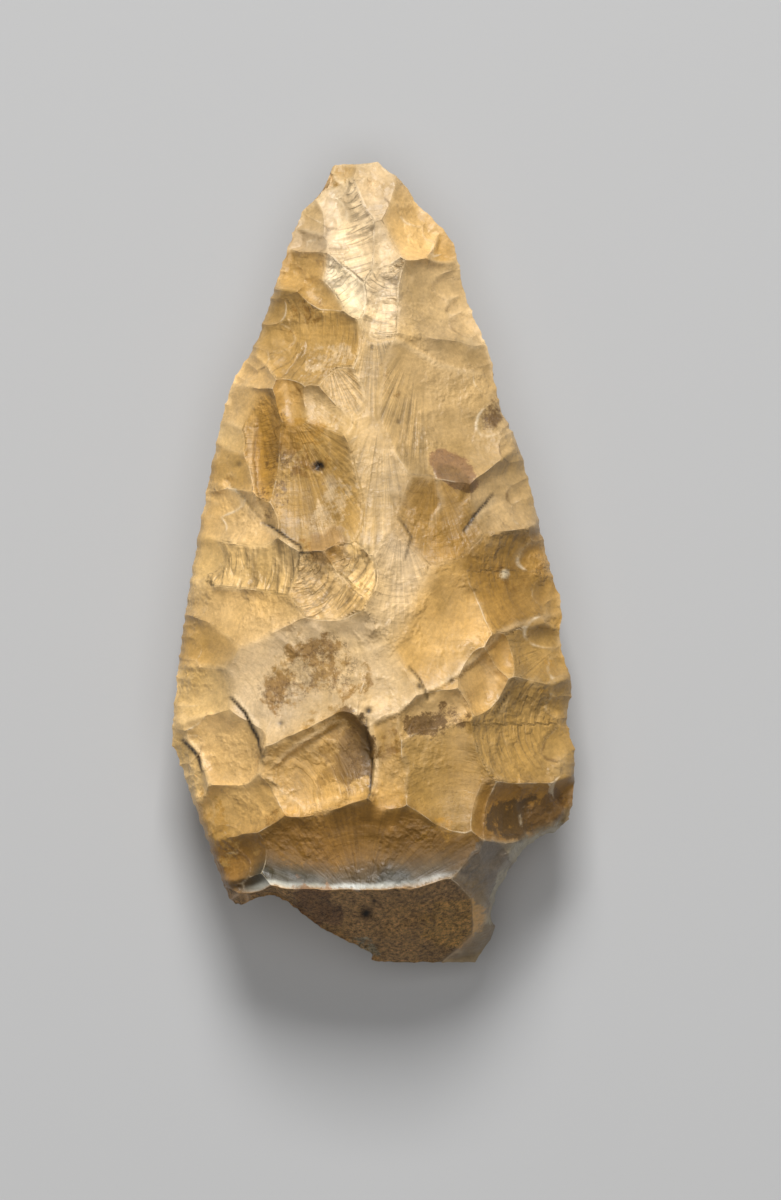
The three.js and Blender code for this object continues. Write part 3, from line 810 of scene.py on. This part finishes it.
# %% [markdown]
# ## The lower face
# The stone lies on this face, so it is made the same way but with less care: three rounds of blows at even
# steps round the edge, and one small flat that the stone rests on. It has every second line of the upper
# net, because nobody looks at it closely, and shares the rim's points with it.

# %% Blows on the lower face
LOWER_ROUNDS = [(9, 0.46, (15, 21), (10, 14), (1.5, 2.4), 38), (13, 0.74, (8, 12), (6, 9), (1.4, 2.1), 30),
                (19, 0.93, (3.5, 6), (3.5, 6), (1, 1.6), 20)]
SEED = 11
MULTIPLIER, MODULUS = 16807, 2147483647


def random_row(seed):
    """A repeatable row of numbers from 0 to 1, each the last one multiplied and wrapped round."""
    state = seed
    while True:
        state = state * MULTIPLIER % MODULUS
        yield state / MODULUS


def lower_scars():
    """Bowls at even angles round the stone in three rounds, long ones first, trimming last."""
    row = random_row(SEED)
    scars = []
    for blows, offset, long, wide, deep, swing in LOWER_ROUNDS:
        for blow in range(blows):
            angle = 2 * math.pi * (blow + 0.5 * next(row)) / blows
            y = 86 * math.sin(angle)
            half_width = table(BLANK, y, 2)
            side = 1 if math.cos(angle) > 0 else -1
            x = table(BLANK, y, 1) + side * offset * half_width
            turn = (180 if side > 0 else 0) + swing * (2 * next(row) - 1)
            half_length = (long[0] + (long[1] - long[0]) * next(row)) * min(1, half_width / 34)
            half_breadth = wide[0] + (wide[1] - wide[0]) * next(row)
            depth = deep[0] + (deep[1] - deep[0]) * next(row)
            scars.append((x, y, half_length, half_breadth, turn, depth, 2))
    return scars


def lower_heights(x, y):
    """The highest of these layers bounds the stone from below, so they are returned upside down."""
    wx, wy = wander(x, y, 40)
    shell = dome(x, y, LOWER_CREST, -1)
    layers = [shell + bowl(wx, wy, scar) for scar in lower_scars()]
    layers.append(np.zeros_like(x))
    face = np.max(layers, axis=0)
    layers += [face + bowl(wx, wy, chip) for chip in chip_scars(0.6)]
    return -np.array(layers, np.float32)


coarse_net = base_net[::2, ::2]
lower_net = settled(coarse_net, lower_heights(coarse_net[..., 0], coarse_net[..., 1]))
LX, LY = lower_net[..., 0], lower_net[..., 1]
lower_layers = np.sort(lower_heights(LX, LY), axis=0)[:2]
lower_inset = rim_distance(LX, LY)
lower_relief = (0.12 * rough(LX, LY, 9, 151) + 0.05 * rough(LX, LY, 2, 161, 2)) * ease(lower_inset, 0.5, 4)
lower_body = np.maximum(-lower_layers[0] + lower_relief, 0)
lower_z = from_edge(lower_net[..., 2], lower_body, lower_inset, -1)
lower_face = np.dstack([LX, LY, lower_z])
print(f"lower face rests on {(lower_z < 0.001).mean():.1%} of its points")

# %% [markdown]
# ## One closed mesh
# Both nets go into one list of points. The lower net takes the rim's points from the upper one, and where
# its coarse squares touch the rim they also take the rim point between their corners, so nothing is left
# open. Each square of the upper net is cut along the diagonal that follows the surface better.

# %% Mesh
rows, columns = upper_face.shape[:2]
upper_index = np.arange(rows * columns).reshape(rows, columns)
lower_index = upper_index[::2, ::2].copy()
lower_rows, lower_columns = lower_index.shape
inner_count = (lower_rows - 2) * (lower_columns - 2)
lower_index[1:-1, 1:-1] = rows * columns + np.arange(inner_count).reshape(lower_rows - 2, lower_columns - 2)
points = np.vstack([upper_face.reshape(-1, 3), lower_face[1:-1, 1:-1].reshape(-1, 3)])


def upper_triangles():
    """Squares cut along the diagonal whose ends are higher in sum, since every ridge is convex."""
    a, b = upper_index[:-1, :-1].ravel(), upper_index[1:, :-1].ravel()
    c, d = upper_index[1:, 1:].ravel(), upper_index[:-1, 1:].ravel()
    z = points[:, 2]
    first = z[a] + z[c] >= z[b] + z[d]
    one = np.where(first[:, None], np.column_stack([a, b, c]), np.column_stack([b, c, d]))
    two = np.where(first[:, None], np.column_stack([a, c, d]), np.column_stack([b, d, a]))
    return np.vstack([one, two])


def lower_polygons():
    """Squares seen from below, each with eight places: its corners and the rim points halfway along its
    sides. Only squares on the rim fill the halfway places, so the empty ones (-1) are left out."""
    corners = [lower_index[:-1, :-1], lower_index[:-1, 1:], lower_index[1:, 1:], lower_index[1:, :-1]]
    halfway = [np.full(corners[0].shape, -1) for _ in range(4)]
    halfway[0][0] = upper_index[0, 1::2]
    halfway[1][:, -1] = upper_index[1::2, -1]
    halfway[2][-1] = upper_index[-1, 1::2]
    halfway[3][:, 0] = upper_index[1::2, 0]
    places = np.dstack([part for pair in zip(corners, halfway) for part in pair]).reshape(-1, 8)
    on_rim = (places >= 0).sum(1) > 4
    inner = places[~on_rim][:, ::2].tolist()
    return inner + [place[place >= 0].tolist() for place in places[on_rim]]


points[:, :2] -= centre
MILLIMETRE = 0.001
mesh = bpy.data.meshes.new("stone")
mesh.from_pydata((points * MILLIMETRE).tolist(), [], upper_triangles().tolist() + lower_polygons())
mesh.validate()
stone = bpy.data.objects.new("stone", mesh)
bpy.context.collection.objects.link(stone)
mesh.calc_loop_triangles()
print(f"stone of {len(mesh.vertices)} points and {len(mesh.loop_triangles)} triangles")

# %% [markdown]
# Shading is smooth inside a scar and breaks along a ridge, as on struck flint. Marking those edges sharp
# keeps the ridges crisp without a finer mesh.

# %% Crisp ridges
# An edge is sharp where both its ends stand on a ridge that hasn't faded, and all round the rim.
on_ridge = np.zeros(len(points), bool)
on_ridge[:rows * columns] = ((ridge_gap < 0.03) & (lost < 0.3)).ravel()
on_ridge[np.r_[upper_index[0], upper_index[-1], upper_index[:, 0], upper_index[:, -1]]] = True
ends = np.empty(2 * len(mesh.edges), int)
mesh.edges.foreach_get("vertices", ends)
sharp = on_ridge[ends.reshape(-1, 2)].all(1)
mesh.polygons.foreach_set("use_smooth", np.ones(len(mesh.polygons), bool))
mesh.attributes.new("sharp_edge", "BOOLEAN", "EDGE").data.foreach_set("value", sharp)
print(f"{sharp.sum()} sharp edges of {len(sharp)}")

# %% [markdown]
# ## Colour painted on the points
# The broad colours follow the scars and the stains, so they are worked out on the points like the shape:
# first each scar's tint, softly joined at the ridges, then stains as noisy ovals, then ridges made paler, as
# wear and as a painted highlight, and fissures made dark, as painted shade with some dirt. The material adds
# everything finer than half a millimetre.

# %% Scar tints
tints = np.array([scar[7] for scar in SCARS] + [CRUST_BROWN, SLATE] + [VIOLET, PALE_GREY, SLATE, VIOLET])
main_layers = layers[:len(tints)]
lowest = main_layers.min(0)
weights = np.exp(-(main_layers - lowest) / 0.3)
weights /= weights.sum(0)
colour = np.einsum("krc,kf->rcf", weights, tints)
drift = np.clip(0.3 + 0.5 * lost, 0, 1) * (1 - crust_mask) * (1 - fresh_mask)
colour += drift[..., None] * (smoothed(colour, 60) - colour)

# %% [markdown]
# Iron and soil have stained the patina in ragged patches. Each is an oval whose outline is pushed about by
# noise. Its share and its tint are stored, and the material breaks the border up more finely.

# %% Soft stains
# Each stain: x, y, half length, half width, turn, tint, strength, how ragged its outline is.
STAINS = [
    # the hollow on the left and the rippled bulb below it
    (-21.5, 20.5, 15.0, 4.5, 85, UMBER, 0.45, 1.0),
    (-16.0, 29.5, 8.0, 4.5, 10, OCHRE, 0.6, 1.2),
    (-12.7, 21.4, 5.5, 4.5, 0, BRONZE, 0.55, 1.4),
    (-8.5, 10.5, 12.0, 6.5, 75, CREAM, 0.5, 2.2),
    (-10.5, 4.8, 6.0, 3.8, 20, BRONZE, 0.6, 1.3),
    (-5.5, -1.5, 6.5, 3.5, -60, AMBER, 0.45, 1.2),
    # the pale plane in the middle
    (-14.0, -24.0, 15.0, 9.0, 20, AMBER, 0.45, 1.6),
    (-21.4, -28.5, 5.0, 4.0, 60, BRONZE, 0.45, 2.0),
    (-11.9, -19.6, 6.0, 4.0, 0, BRONZE, 0.45, 2.0),
    (-3.5, -27.5, 6.0, 3.5, 0, BRONZE, 0.3, 1.6),
    # below the crest
    (-8.0, -41.5, 11.0, 7.0, 95, AMBER, 0.55, 1.2),
    (-4.4, -41.0, 9.5, 4.6, 95, UMBER, 0.65, 1.6),
    (-1.8, -40.5, 9.0, 1.5, 95, PEAT, 0.8, 1.2),
    (2.7, -40.8, 5.5, 3.2, 60, BRONZE, 0.5, 1.2),
    (13.9, -35.2, 8.0, 4.0, 15, UMBER, 0.65, 1.4),
    (-10.7, -61.0, 15.0, 7.5, 0, BRONZE, 0.5, 1.4),
    (14.0, -60.5, 6.0, 4.5, 20, OCHRE, 0.5, 1.0),
    (-33.0, -62.0, 6.0, 9.0, 20, OLIVE, 0.4, 1.2),
    # right-hand side
    (17.7, 21.1, 7.2, 4.0, -35, DRAB, 0.9, 0.5),
    (18.6, 18.6, 6.5, 2.2, -35, UMBER, 0.7, 0.8),
    (26.4, 34.0, 4.5, 3.2, 60, UMBER, 0.6, 1.6),
    (32.9, -3.9, 8.0, 8.5, 80, BRONZE, 0.35, 0.9),
    (3.5, 40.0, 9.0, 2.2, -70, BRONZE, 0.35, 0.8),
    (38.0, -24.0, 6.0, 3.0, 80, OCHRE, 0.4, 1.0),
    # tip and left edge
    (-9.0, 86.0, 4.0, 3.0, 0, AMBER, 0.5, 1.2),
    (-15.5, 55.0, 7.0, 5.0, 40, BRONZE, 0.4, 1.2),
    (-9.0, 46.0, 8.0, 4.0, 20, CREAM, 0.5, 1.2),
    (-36.0, -55.0, 4.0, 8.0, 15, OCHRE, 0.4, 1.0),
    # crust and late break
    # the crust's right part is painted a lighter gold, as painted light where that part is lit
    (17.2, -80.5, 9.0, 6.5, 20, GOLD_PAINTED_LIGHT, 0.8, 1.0),
    (-2.9, -85.2, 5.0, 2.6, -30, PALE_GREY, 0.6, 0.9),
    (-12.0, -76.5, 9.0, 5.0, -30, DRAB, 0.7, 1.4),
    (25.0, -66.0, 6.0, 4.5, 60, VIOLET, 0.9, 0.8),
    (28.0, -74.0, 8.0, 2.2, 75, PALE_GREY, 0.7, 0.8),
    (38.0, -61.0, 6.0, 3.0, 30, PALE_GREY, 0.5, 1.0),
    (32.0, -56.5, 8.5, 5.5, 10, PEAT, 0.75, 0.9),
    (38.5, -54.5, 6.0, 4.5, 30, UMBER, 0.6, 1.6),
]


stain_share, stain_colour = np.zeros(X.shape), np.zeros((*X.shape, 3))
for number, stain in enumerate(STAINS):
    share = stain[6] * oval(X, Y, stain, 300 + 7 * number)
    stain_colour += share[..., None] * (stain[5] - stain_colour)
    stain_share += share * (1 - stain_share)
stain_colour /= np.maximum(stain_share, 0.001)[..., None]

# Small marks with clear outlines, written the same way.
MARKS = [
    (29.1, -2.3, 1.3, 1.1, 40, IVORY, 1.0, 0.3),
    (-12.3, 21.6, 1.6, 1.3, 0, INK, 1.0, 0.3),
    (-9.6, 18.0, 1.5, 2.2, 20, CREAM, 0.8, 0.6),
]
for number, mark in enumerate(MARKS):
    share = (mark[6] * oval(X, Y, mark, 460 + 7 * number))[..., None]
    colour = colour * (1 - share) + mark[5] * share

# %% [markdown]
# Just above the crust the flint is broken across: first a chalk-white rind, then dark glassy flint that
# clears toward the tip. Its place is measured by how far the crust's plane lies above the face.

# %% The banded rim above the crust
above_crust = (layers[CRUST] - layers[:CRUST].min(0)) / 1.3 + 0.15 * rough(X, Y, 4, 401, 3)
along_rim = ease(X, -31, -24) * (1 - ease(X, 14, 24))
rind = ease(above_crust, 0.0, 0.2) * (1 - ease(above_crust, 1.0, 1.9)) * along_rim
glass = ease(above_crust, 0.2, 1.2) * (1 - ease(above_crust, 1.8, 9.5)) * along_rim * (1 - crust_mask)
glass *= 0.85 + 0.3 * ease(-X, 6, 18) + 0.25 * ease(X, -2, 4) * (1 - ease(X, 6, 10))
glass = (np.clip(glass, 0, 1) * (1 - fresh_mask))[..., None]
rind *= (0.8 + 0.5 * rough(X, Y, 5, 411, 3)) * (0.6 + 0.4 * ease(X, -16, -4)) * (1 - 0.55 * ease(X, -2, 10))
rind = (np.clip(rind, 0, 1) * (1 - crust_mask) * (1 - fresh_mask))[..., None]
colour = colour * (1 - glass) + SHADE * glass
colour = colour * (1 - rind) + CHALK * rind

# %% [markdown]
# Patina is blotchy, ridges and the edge are rubbed pale, and ripples hold a little brown. Ridges are made
# paler also as a painted highlight, the high side of each cliff gets a painted highlight, and cracks, pits
# and the feet of cliffs are painted dark, as shade with some dirt. All of it follows the shape that is
# already there, so it is worked out from the shape.

# %% Mottling, worn ridges, painted highlights and painted shade in corners
standing = upper_z - smoothed(upper_z, 8)  # above 0 on ridges
standing *= ease(upper_inset, 0.6, 2.2)
patchy = ease(rough(X, Y, 6, 87, 3), -0.35, 0.4)
# ridges that stand up are made pale: rubbed wear, and also a painted highlight
ridge_wear_and_highlight = ease(standing, 0.02, 0.14) * patchy
edge_wear = (1 - ease(upper_inset + 0.6 * rough(X, Y, 2.5, 91), 0.1, 1.4)) * patchy
trough = ease(-ripples, 0.0, 0.6) * ripple_share
warm = rough(X, Y, 11, 121, 4)[..., None]
patches = 2 * ease(rough(X, Y, 9, 101, 5), -0.25, 0.25) - 1  # patina patches with fairly clear outlines
colour *= (1 + 0.10 * patches + 0.08 * rough(X, Y, 16, 111, 3))[..., None]
colour *= 1 + warm * np.array([0.03, -0.015, -0.18])
# pale from wear on ridges and the edge, plus painted highlight on ridges and on the high side of cliffs
pale_wear_and_highlight = ((0.22 * ridge_wear_and_highlight + 0.35 * edge_wear + 0.55 * step_highlight) * (1 - crust_mask))[..., None]
colour = colour * (1 - pale_wear_and_highlight) + 0.5 * (colour * 1.3 + IVORY) * pale_wear_and_highlight
brown = np.clip(0.8 * trough, 0, 1)[..., None]
colour = colour * (1 - brown) + 0.35 * (colour + UMBER) * brown
# cracks, pits and the feet of cliffs are painted dark toward INK: painted shade with some dirt
dark = np.clip(1.1 * crack_shade_and_dirt, 0, 1)[..., None]
colour = colour * (1 - dark) + INK * dark
print("colour range", colour.min().round(3), colour.max().round(3))

# %% [markdown]
# Specks are far too small for the mesh, so only their density is stored, and the material draws them.

# %% Where brown specks gather
# Each cloud of specks: x, y, half length, half width, turn, density, how ragged its outline is.
CLOUDS = [
    (-14.3, -23.6, 13.5, 9.0, 25, 0.9, 1.6),
    (-21.4, -28.5, 4.0, 3.0, 60, 1.2, 1.2),
    (-11.9, -19.6, 4.5, 2.6, 0, 1.2, 1.2),
    (12.7, -35.7, 7.0, 4.2, 15, 1.0, 1.4),
    (-10.7, -60.3, 12.0, 7.5, 0, 0.7, 1.3),
    (-3.5, -40.0, 8.0, 3.4, 95, 1.0, 1.0),
    (17.7, 21.1, 7.0, 3.8, -35, 0.8, 0.5),
    (15.5, 57.0, 9.0, 7.0, 60, 0.5, 1.6),
    (-30.0, -60.0, 7.0, 9.0, 0, 0.5, 1.4),
    (-12.0, 15.0, 9.0, 11.0, 0, 0.5, 1.4),
    (17.0, -51.0, 9.0, 6.0, 20, 0.5, 1.4),
    (26.0, 32.5, 4.0, 3.0, 60, 1.0, 0.9),
    (-7.0, -10.0, 6.0, 5.0, 0, 0.5, 1.2),
]
specks = 0.10 + 0.35 * ease(rough(X, Y, 9, 801, 4), -0.1, 0.5)
for number, cloud in enumerate(CLOUDS):
    specks = np.maximum(specks, cloud[5] * oval(X, Y, cloud, 500 + 7 * number))
specks *= (1 - crust_mask) * (1 - fresh_mask)

# %% [markdown]
# What the material needs goes onto the points. The lower face has no ripples, stains or specks of its own.

# %% Attributes on the mesh


def lower_copy(values):
    """Values of the lower net's inner points, taken from the same place in the upper net."""
    return values[::2, ::2][1:-1, 1:-1].reshape(inner_count, *values.shape[2:])


def paint(name, kind, field, values):
    """Stores one value for each point, upper face first, then the lower face's inner points."""
    layer = mesh.attributes.new(name, kind, "POINT")
    layer.data.foreach_set(field, np.ascontiguousarray(values, np.float32).ravel())


lower_patches = (1 + 0.2 * rough(LX, LY, 12, 201, 4))[..., None]
lower_colour = 0.75 * BUFF * lower_patches + 0.2 * colour[::2, ::2]
lower_colour = lower_colour[1:-1, 1:-1].reshape(-1, 3)
all_colour = np.vstack([colour.reshape(-1, 3), lower_colour])
paint("tint", "FLOAT_COLOR", "color", np.column_stack([all_colour, np.ones(len(all_colour))]))
all_stains = np.vstack([stain_colour.reshape(-1, 3), lower_copy(stain_colour)])
paint("stain_tint", "FLOAT_COLOR", "color", np.column_stack([all_stains, np.ones(len(all_stains))]))
blow = np.dstack([strike_distance, strike_bearing, owner * 0.37])
paint("blow", "FLOAT_VECTOR", "vector", np.vstack([blow.reshape(-1, 3), lower_copy(blow)]))
gap = ridge_gap + 0.5 * lost + 0.2 * (1 - ease(upper_inset, 1.5, 4.5))
paint("gap", "FLOAT", "value", np.r_[gap.ravel(), 9 + 0 * lower_copy(gap)])
upper_only = {"ripple": ripple_share, "streak": streak_share, "specks": specks, "stain": stain_share,
              "crust": crust_mask * ease(ridge_gap, 0, 0.4), "fresh": fresh_mask}
for name, values in upper_only.items():
    paint(name, "FLOAT", "value", np.r_[values.ravel(), 0 * lower_copy(values)])

# %% [markdown]
# ## Stone material
# One material covers the stone, because the crust, the patina and the fresh break pass into each other. It
# takes the painted tint and adds what is too fine for the mesh: mottling and grain, dark specks, streaks
# that fan out from each blow, ripples that ring out from it, and a bump for all of them.
#
# A node tree written out node by node is long and hard to read. This class makes a node, sets it and links
# it in one call, so that the material reads like arithmetic.

# %% A small wiring helper


class Wiring:
    """Adds nodes to a material's tree and hands back their output sockets."""

    def __init__(self, tree):
        self.tree = tree

    def node(self, kind, inputs=(), **settings):
        """A node with its settings, and each of its inputs set to a value or linked to a socket."""
        made = self.tree.nodes.new(kind)
        for key, value in settings.items():
            setattr(made, key, value)
        for key, value in dict(inputs).items():
            if isinstance(value, bpy.types.NodeSocket):
                self.tree.links.new(value, made.inputs[key])
            else:
                made.inputs[key].default_value = value
        return made

    def attribute(self, name, output="Fac"):
        return self.node("ShaderNodeAttribute", attribute_name=name).outputs[output]

    def noise(self, vector, scale, detail=3.0, roughness=0.5):
        inputs = {"Vector": vector, "Scale": scale, "Detail": detail, "Roughness": roughness}
        return self.node("ShaderNodeTexNoise", inputs).outputs["Fac"]

    def span(self, value, low, high, to_low=0.0, to_high=1.0):
        """Stretches the part of a value between low and high over a new range, and holds it there."""
        inputs = {"Value": value, "From Min": low, "From Max": high, "To Min": to_low, "To Max": to_high}
        return self.node("ShaderNodeMapRange", inputs).outputs["Result"]

    def maths(self, operation, one, two=0.0, three=0.0):
        return self.node("ShaderNodeMath", {0: one, 1: two, 2: three}, operation=operation).outputs[0]

    def blend(self, share, one, two, mode="MIX"):
        """Blends two colours by a share from 0 to 1."""
        inputs = {0: share, 6: one, 7: two}
        return self.node("ShaderNodeMix", inputs, data_type="RGBA", blend_type=mode).outputs[2]


def opaque(tint):
    return (*[float(part) for part in tint], 1.0)


# %% [markdown]
# The tree starts from what the points carry: the tint, the masks, and each place's distance and bearing from
# the point where its flake was struck.

# %% Patinated flint
flint = bpy.data.materials.new("patinated_flint")
flint.use_nodes = True
wire = Wiring(flint.node_tree)
surface = flint.node_tree.nodes["Principled BSDF"]
place = wire.node("ShaderNodeTexCoord").outputs["Object"]
crust = wire.attribute("crust")
fresh = wire.attribute("fresh")
blow_vector = wire.attribute("blow", "Vector")
parts = wire.node("ShaderNodeSeparateXYZ", {"Vector": blow_vector}).outputs

# %% [markdown]
# Streaks fan out from the struck point, so their noise hardly changes with distance and changes fast with
# bearing. Ripples are the other way round. Folding the ripple noise about its middle turns it into thin
# lines, and a broad noise lets them come and go.

# %% Mottling, streaks and ripples
MOTTLE_SCALE, GRAIN_SCALE, PATCH_SCALE = 170, 1300, 95  # noise cells to the metre
mottle = wire.noise(place, MOTTLE_SCALE, 6, 0.62)
grain = wire.noise(place, GRAIN_SCALE, 4, 0.6)

fan_parts = {"X": wire.maths("MULTIPLY", parts["X"], 0.05), "Y": wire.maths("MULTIPLY", parts["Y"], 20.0),
             "Z": parts["Z"]}
streaks = wire.noise(wire.node("ShaderNodeCombineXYZ", fan_parts).outputs[0], 1.0, 4, 0.6)

arc_parts = {"X": wire.maths("MULTIPLY", parts["X"], 0.62), "Y": wire.maths("MULTIPLY", parts["Y"], 1.5),
             "Z": parts["Z"]}
arc_noise = wire.noise(wire.node("ShaderNodeCombineXYZ", arc_parts).outputs[0], 1.0, 2.5, 0.55)
arc_lines = wire.span(wire.maths("ABSOLUTE", wire.maths("SUBTRACT", arc_noise, 0.5)), 0.0, 0.07)
ripple_amount = wire.maths("MULTIPLY_ADD", wire.attribute("ripple"), 0.95, 0.05)
ripple_patch = wire.span(wire.noise(place, PATCH_SCALE, 3, 0.6), 0.38, 0.56, 0.25, 1.0)
ripple_amount = wire.maths("MULTIPLY", ripple_amount, ripple_patch)
print("streaks and ripples wired")

# %% [markdown]
# In a few patches the flint was crushed rather than struck. The distance to scattered points makes small
# hollows there that meet in sharp borders.

# %% Crushed patches
bends = wire.node("ShaderNodeTexNoise", {"Vector": place, "Scale": 260.0, "Detail": 3.0}).outputs["Color"]
warped = wire.node("ShaderNodeVectorMath", {0: bends, 1: (0.006, 0.006, 0.006), 2: place},
                   operation="MULTIPLY_ADD").outputs[0]
crushed = {"Vector": warped, "Scale": 330.0, "Randomness": 1.0}
hollows = wire.node("ShaderNodeTexVoronoi", crushed, feature="F1").outputs["Distance"]
flake_lines = wire.span(hollows, 0.0, 0.9)
flake_patch = wire.span(wire.noise(place, 80, 4, 0.6), 0.52, 0.62)

# %% [markdown]
# The colour starts from the painted tint, is darkened and lightened by the marks so far, and takes the stains
# and specks wherever their noise passes the stored density.

# %% Tint, stains and specks
STAIN_SCALE, SPECK_SCALE = 260, 760
shade = wire.span(mottle, 0.34, 0.66, 0.86, 1.12)
shade = wire.maths("MULTIPLY", shade, wire.span(grain, 0.35, 0.65, 0.90, 1.10))
streak_depth = wire.maths("MULTIPLY", wire.attribute("streak"), wire.span(streaks, 0.36, 0.64, -0.34, 0.18))
arc_depth = wire.maths("MULTIPLY", ripple_amount, wire.span(arc_lines, 0.0, 1.0, -0.34, 0.10))
shade = wire.maths("MULTIPLY", shade, wire.maths("ADD", wire.maths("ADD", streak_depth, arc_depth), 1.0))
shade_colour = wire.node("ShaderNodeCombineXYZ", {0: shade, 1: shade, 2: shade}).outputs[0]
stain_noise = wire.span(wire.noise(place, STAIN_SCALE, 9, 0.78), 0.32, 0.68)
stain_limit = wire.span(wire.attribute("stain"), 0.0, 1.0, 1.15, -0.15)
stain_cover = wire.span(wire.maths("SUBTRACT", stain_noise, stain_limit), -0.10, 0.16)
stain_cover = wire.maths("MULTIPLY", stain_cover, 0.85)
stained = wire.blend(stain_cover, wire.attribute("tint", "Color"), wire.attribute("stain_tint", "Color"))
base = wire.blend(1.0, stained, shade_colour, "MULTIPLY")
threshold = wire.span(wire.attribute("specks"), 0.0, 1.0, 0.68, 0.46)
speck_share = wire.maths("SUBTRACT", wire.noise(place, SPECK_SCALE, 8, 0.85), threshold)
speck_share = wire.span(speck_share, 0.0, 0.16, 0.0, 0.85)
base = wire.blend(speck_share, base, opaque(UMBER))
print("tint, stains and specks wired")

# %% [markdown]
# Thin lines run along the ridges: a painted highlight in some places and a painted shadow in others. The
# crust is a mass of dark and golden grains, with their tone spread wide so that it also paints the light and
# shade the grains would catch.

# %% Ridge lines of painted highlight and shadow, and crust
ridge_line = wire.maths("SUBTRACT", 1.0, wire.span(wire.attribute("gap"), 0.02, 0.13))
ridge_noise = wire.noise(place, 150, 4, 0.6)
# a thin painted highlight along the ridges
ridge_highlight = wire.maths("MULTIPLY", ridge_line, wire.span(ridge_noise, 0.48, 0.62, 0.0, 0.6))
# a thin painted shadow along the ridges
ridge_shadow = wire.maths("MULTIPLY", ridge_line, wire.span(ridge_noise, 0.45, 0.36, 0.0, 0.60))
bare = wire.maths("SUBTRACT", wire.maths("SUBTRACT", 1.0, crust), fresh)
base = wire.blend(wire.maths("MULTIPLY", ridge_highlight, bare), base, opaque(IVORY))
base = wire.blend(ridge_shadow, base, opaque(UMBER))

crust_noise = wire.noise(place, 1000, 8, 0.85)
# grain tone that also paints the light and shade on the grains of this facet, which is turned from the light
crust_grain_and_painted_light = wire.span(crust_noise, 0.40, 0.62, 0.30, 1.9)
crust_grain_and_light_colour = wire.node("ShaderNodeCombineXYZ", {0: crust_grain_and_painted_light, 1: crust_grain_and_painted_light, 2: crust_grain_and_painted_light}).outputs[0]
base = wire.blend(crust, base, wire.blend(1.0, base, crust_grain_and_light_colour, "MULTIPLY"))
flint.node_tree.links.new(base, surface.inputs["Base Color"])
print("ridge lines and crust wired")

# %% [markdown]
# Patina has a soft waxy gloss, crust has none, and the late break is a little glassier. All the fine heights
# are added up in millimetres, and the bump's distance of one millimetre turns them into real relief.

# %% Gloss and bump
RIPPLE_HEIGHT, LINE_HEIGHT, GRAIN_HEIGHT, UNEVEN_HEIGHT = 1.1, 0.10, 0.08, 0.16
CRUSHED_HEIGHT, STREAK_HEIGHT, SPECK_HEIGHT, CRUST_HEIGHT = 0.45, 0.3, -0.05, 2.2

gloss = wire.span(mottle, 0.35, 0.65, 0.38, 0.54)
gloss = wire.maths("ADD", gloss, wire.maths("MULTIPLY", crust, 0.30))
gloss = wire.maths("SUBTRACT", gloss, wire.maths("MULTIPLY", fresh, 0.1))
flint.node_tree.links.new(gloss, surface.inputs["Roughness"])
surface.inputs["IOR"].default_value = 1.54

height = wire.maths("MULTIPLY_ADD", arc_lines, LINE_HEIGHT, wire.maths("MULTIPLY", arc_noise, RIPPLE_HEIGHT))
height = wire.maths("MULTIPLY", height, ripple_amount)
streak_height = wire.maths("MULTIPLY", streaks, wire.attribute("streak"))
height = wire.maths("MULTIPLY_ADD", grain, GRAIN_HEIGHT, height)
height = wire.maths("MULTIPLY_ADD", wire.noise(place, 330, 7, 0.6), UNEVEN_HEIGHT, height)
height = wire.maths("MULTIPLY_ADD", wire.maths("MULTIPLY", flake_lines, flake_patch), CRUSHED_HEIGHT, height)
height = wire.maths("MULTIPLY_ADD", streak_height, STREAK_HEIGHT, height)
height = wire.maths("MULTIPLY_ADD", speck_share, SPECK_HEIGHT, height)
crust_grain = wire.maths("MULTIPLY", wire.noise(place, 800, 8, 0.8), crust)
height = wire.maths("MULTIPLY_ADD", crust_grain, CRUST_HEIGHT, height)
bump = wire.node("ShaderNodeBump", {"Height": height, "Strength": 1.0, "Distance": MILLIMETRE})
flint.node_tree.links.new(bump.outputs["Normal"], surface.inputs["Normal"])
mesh.materials.append(flint)
mesh.update()
print(f"material of {len(flint.node_tree.nodes)} nodes")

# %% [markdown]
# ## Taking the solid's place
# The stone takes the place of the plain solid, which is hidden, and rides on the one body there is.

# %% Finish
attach(stone, "root")
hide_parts(NODE)
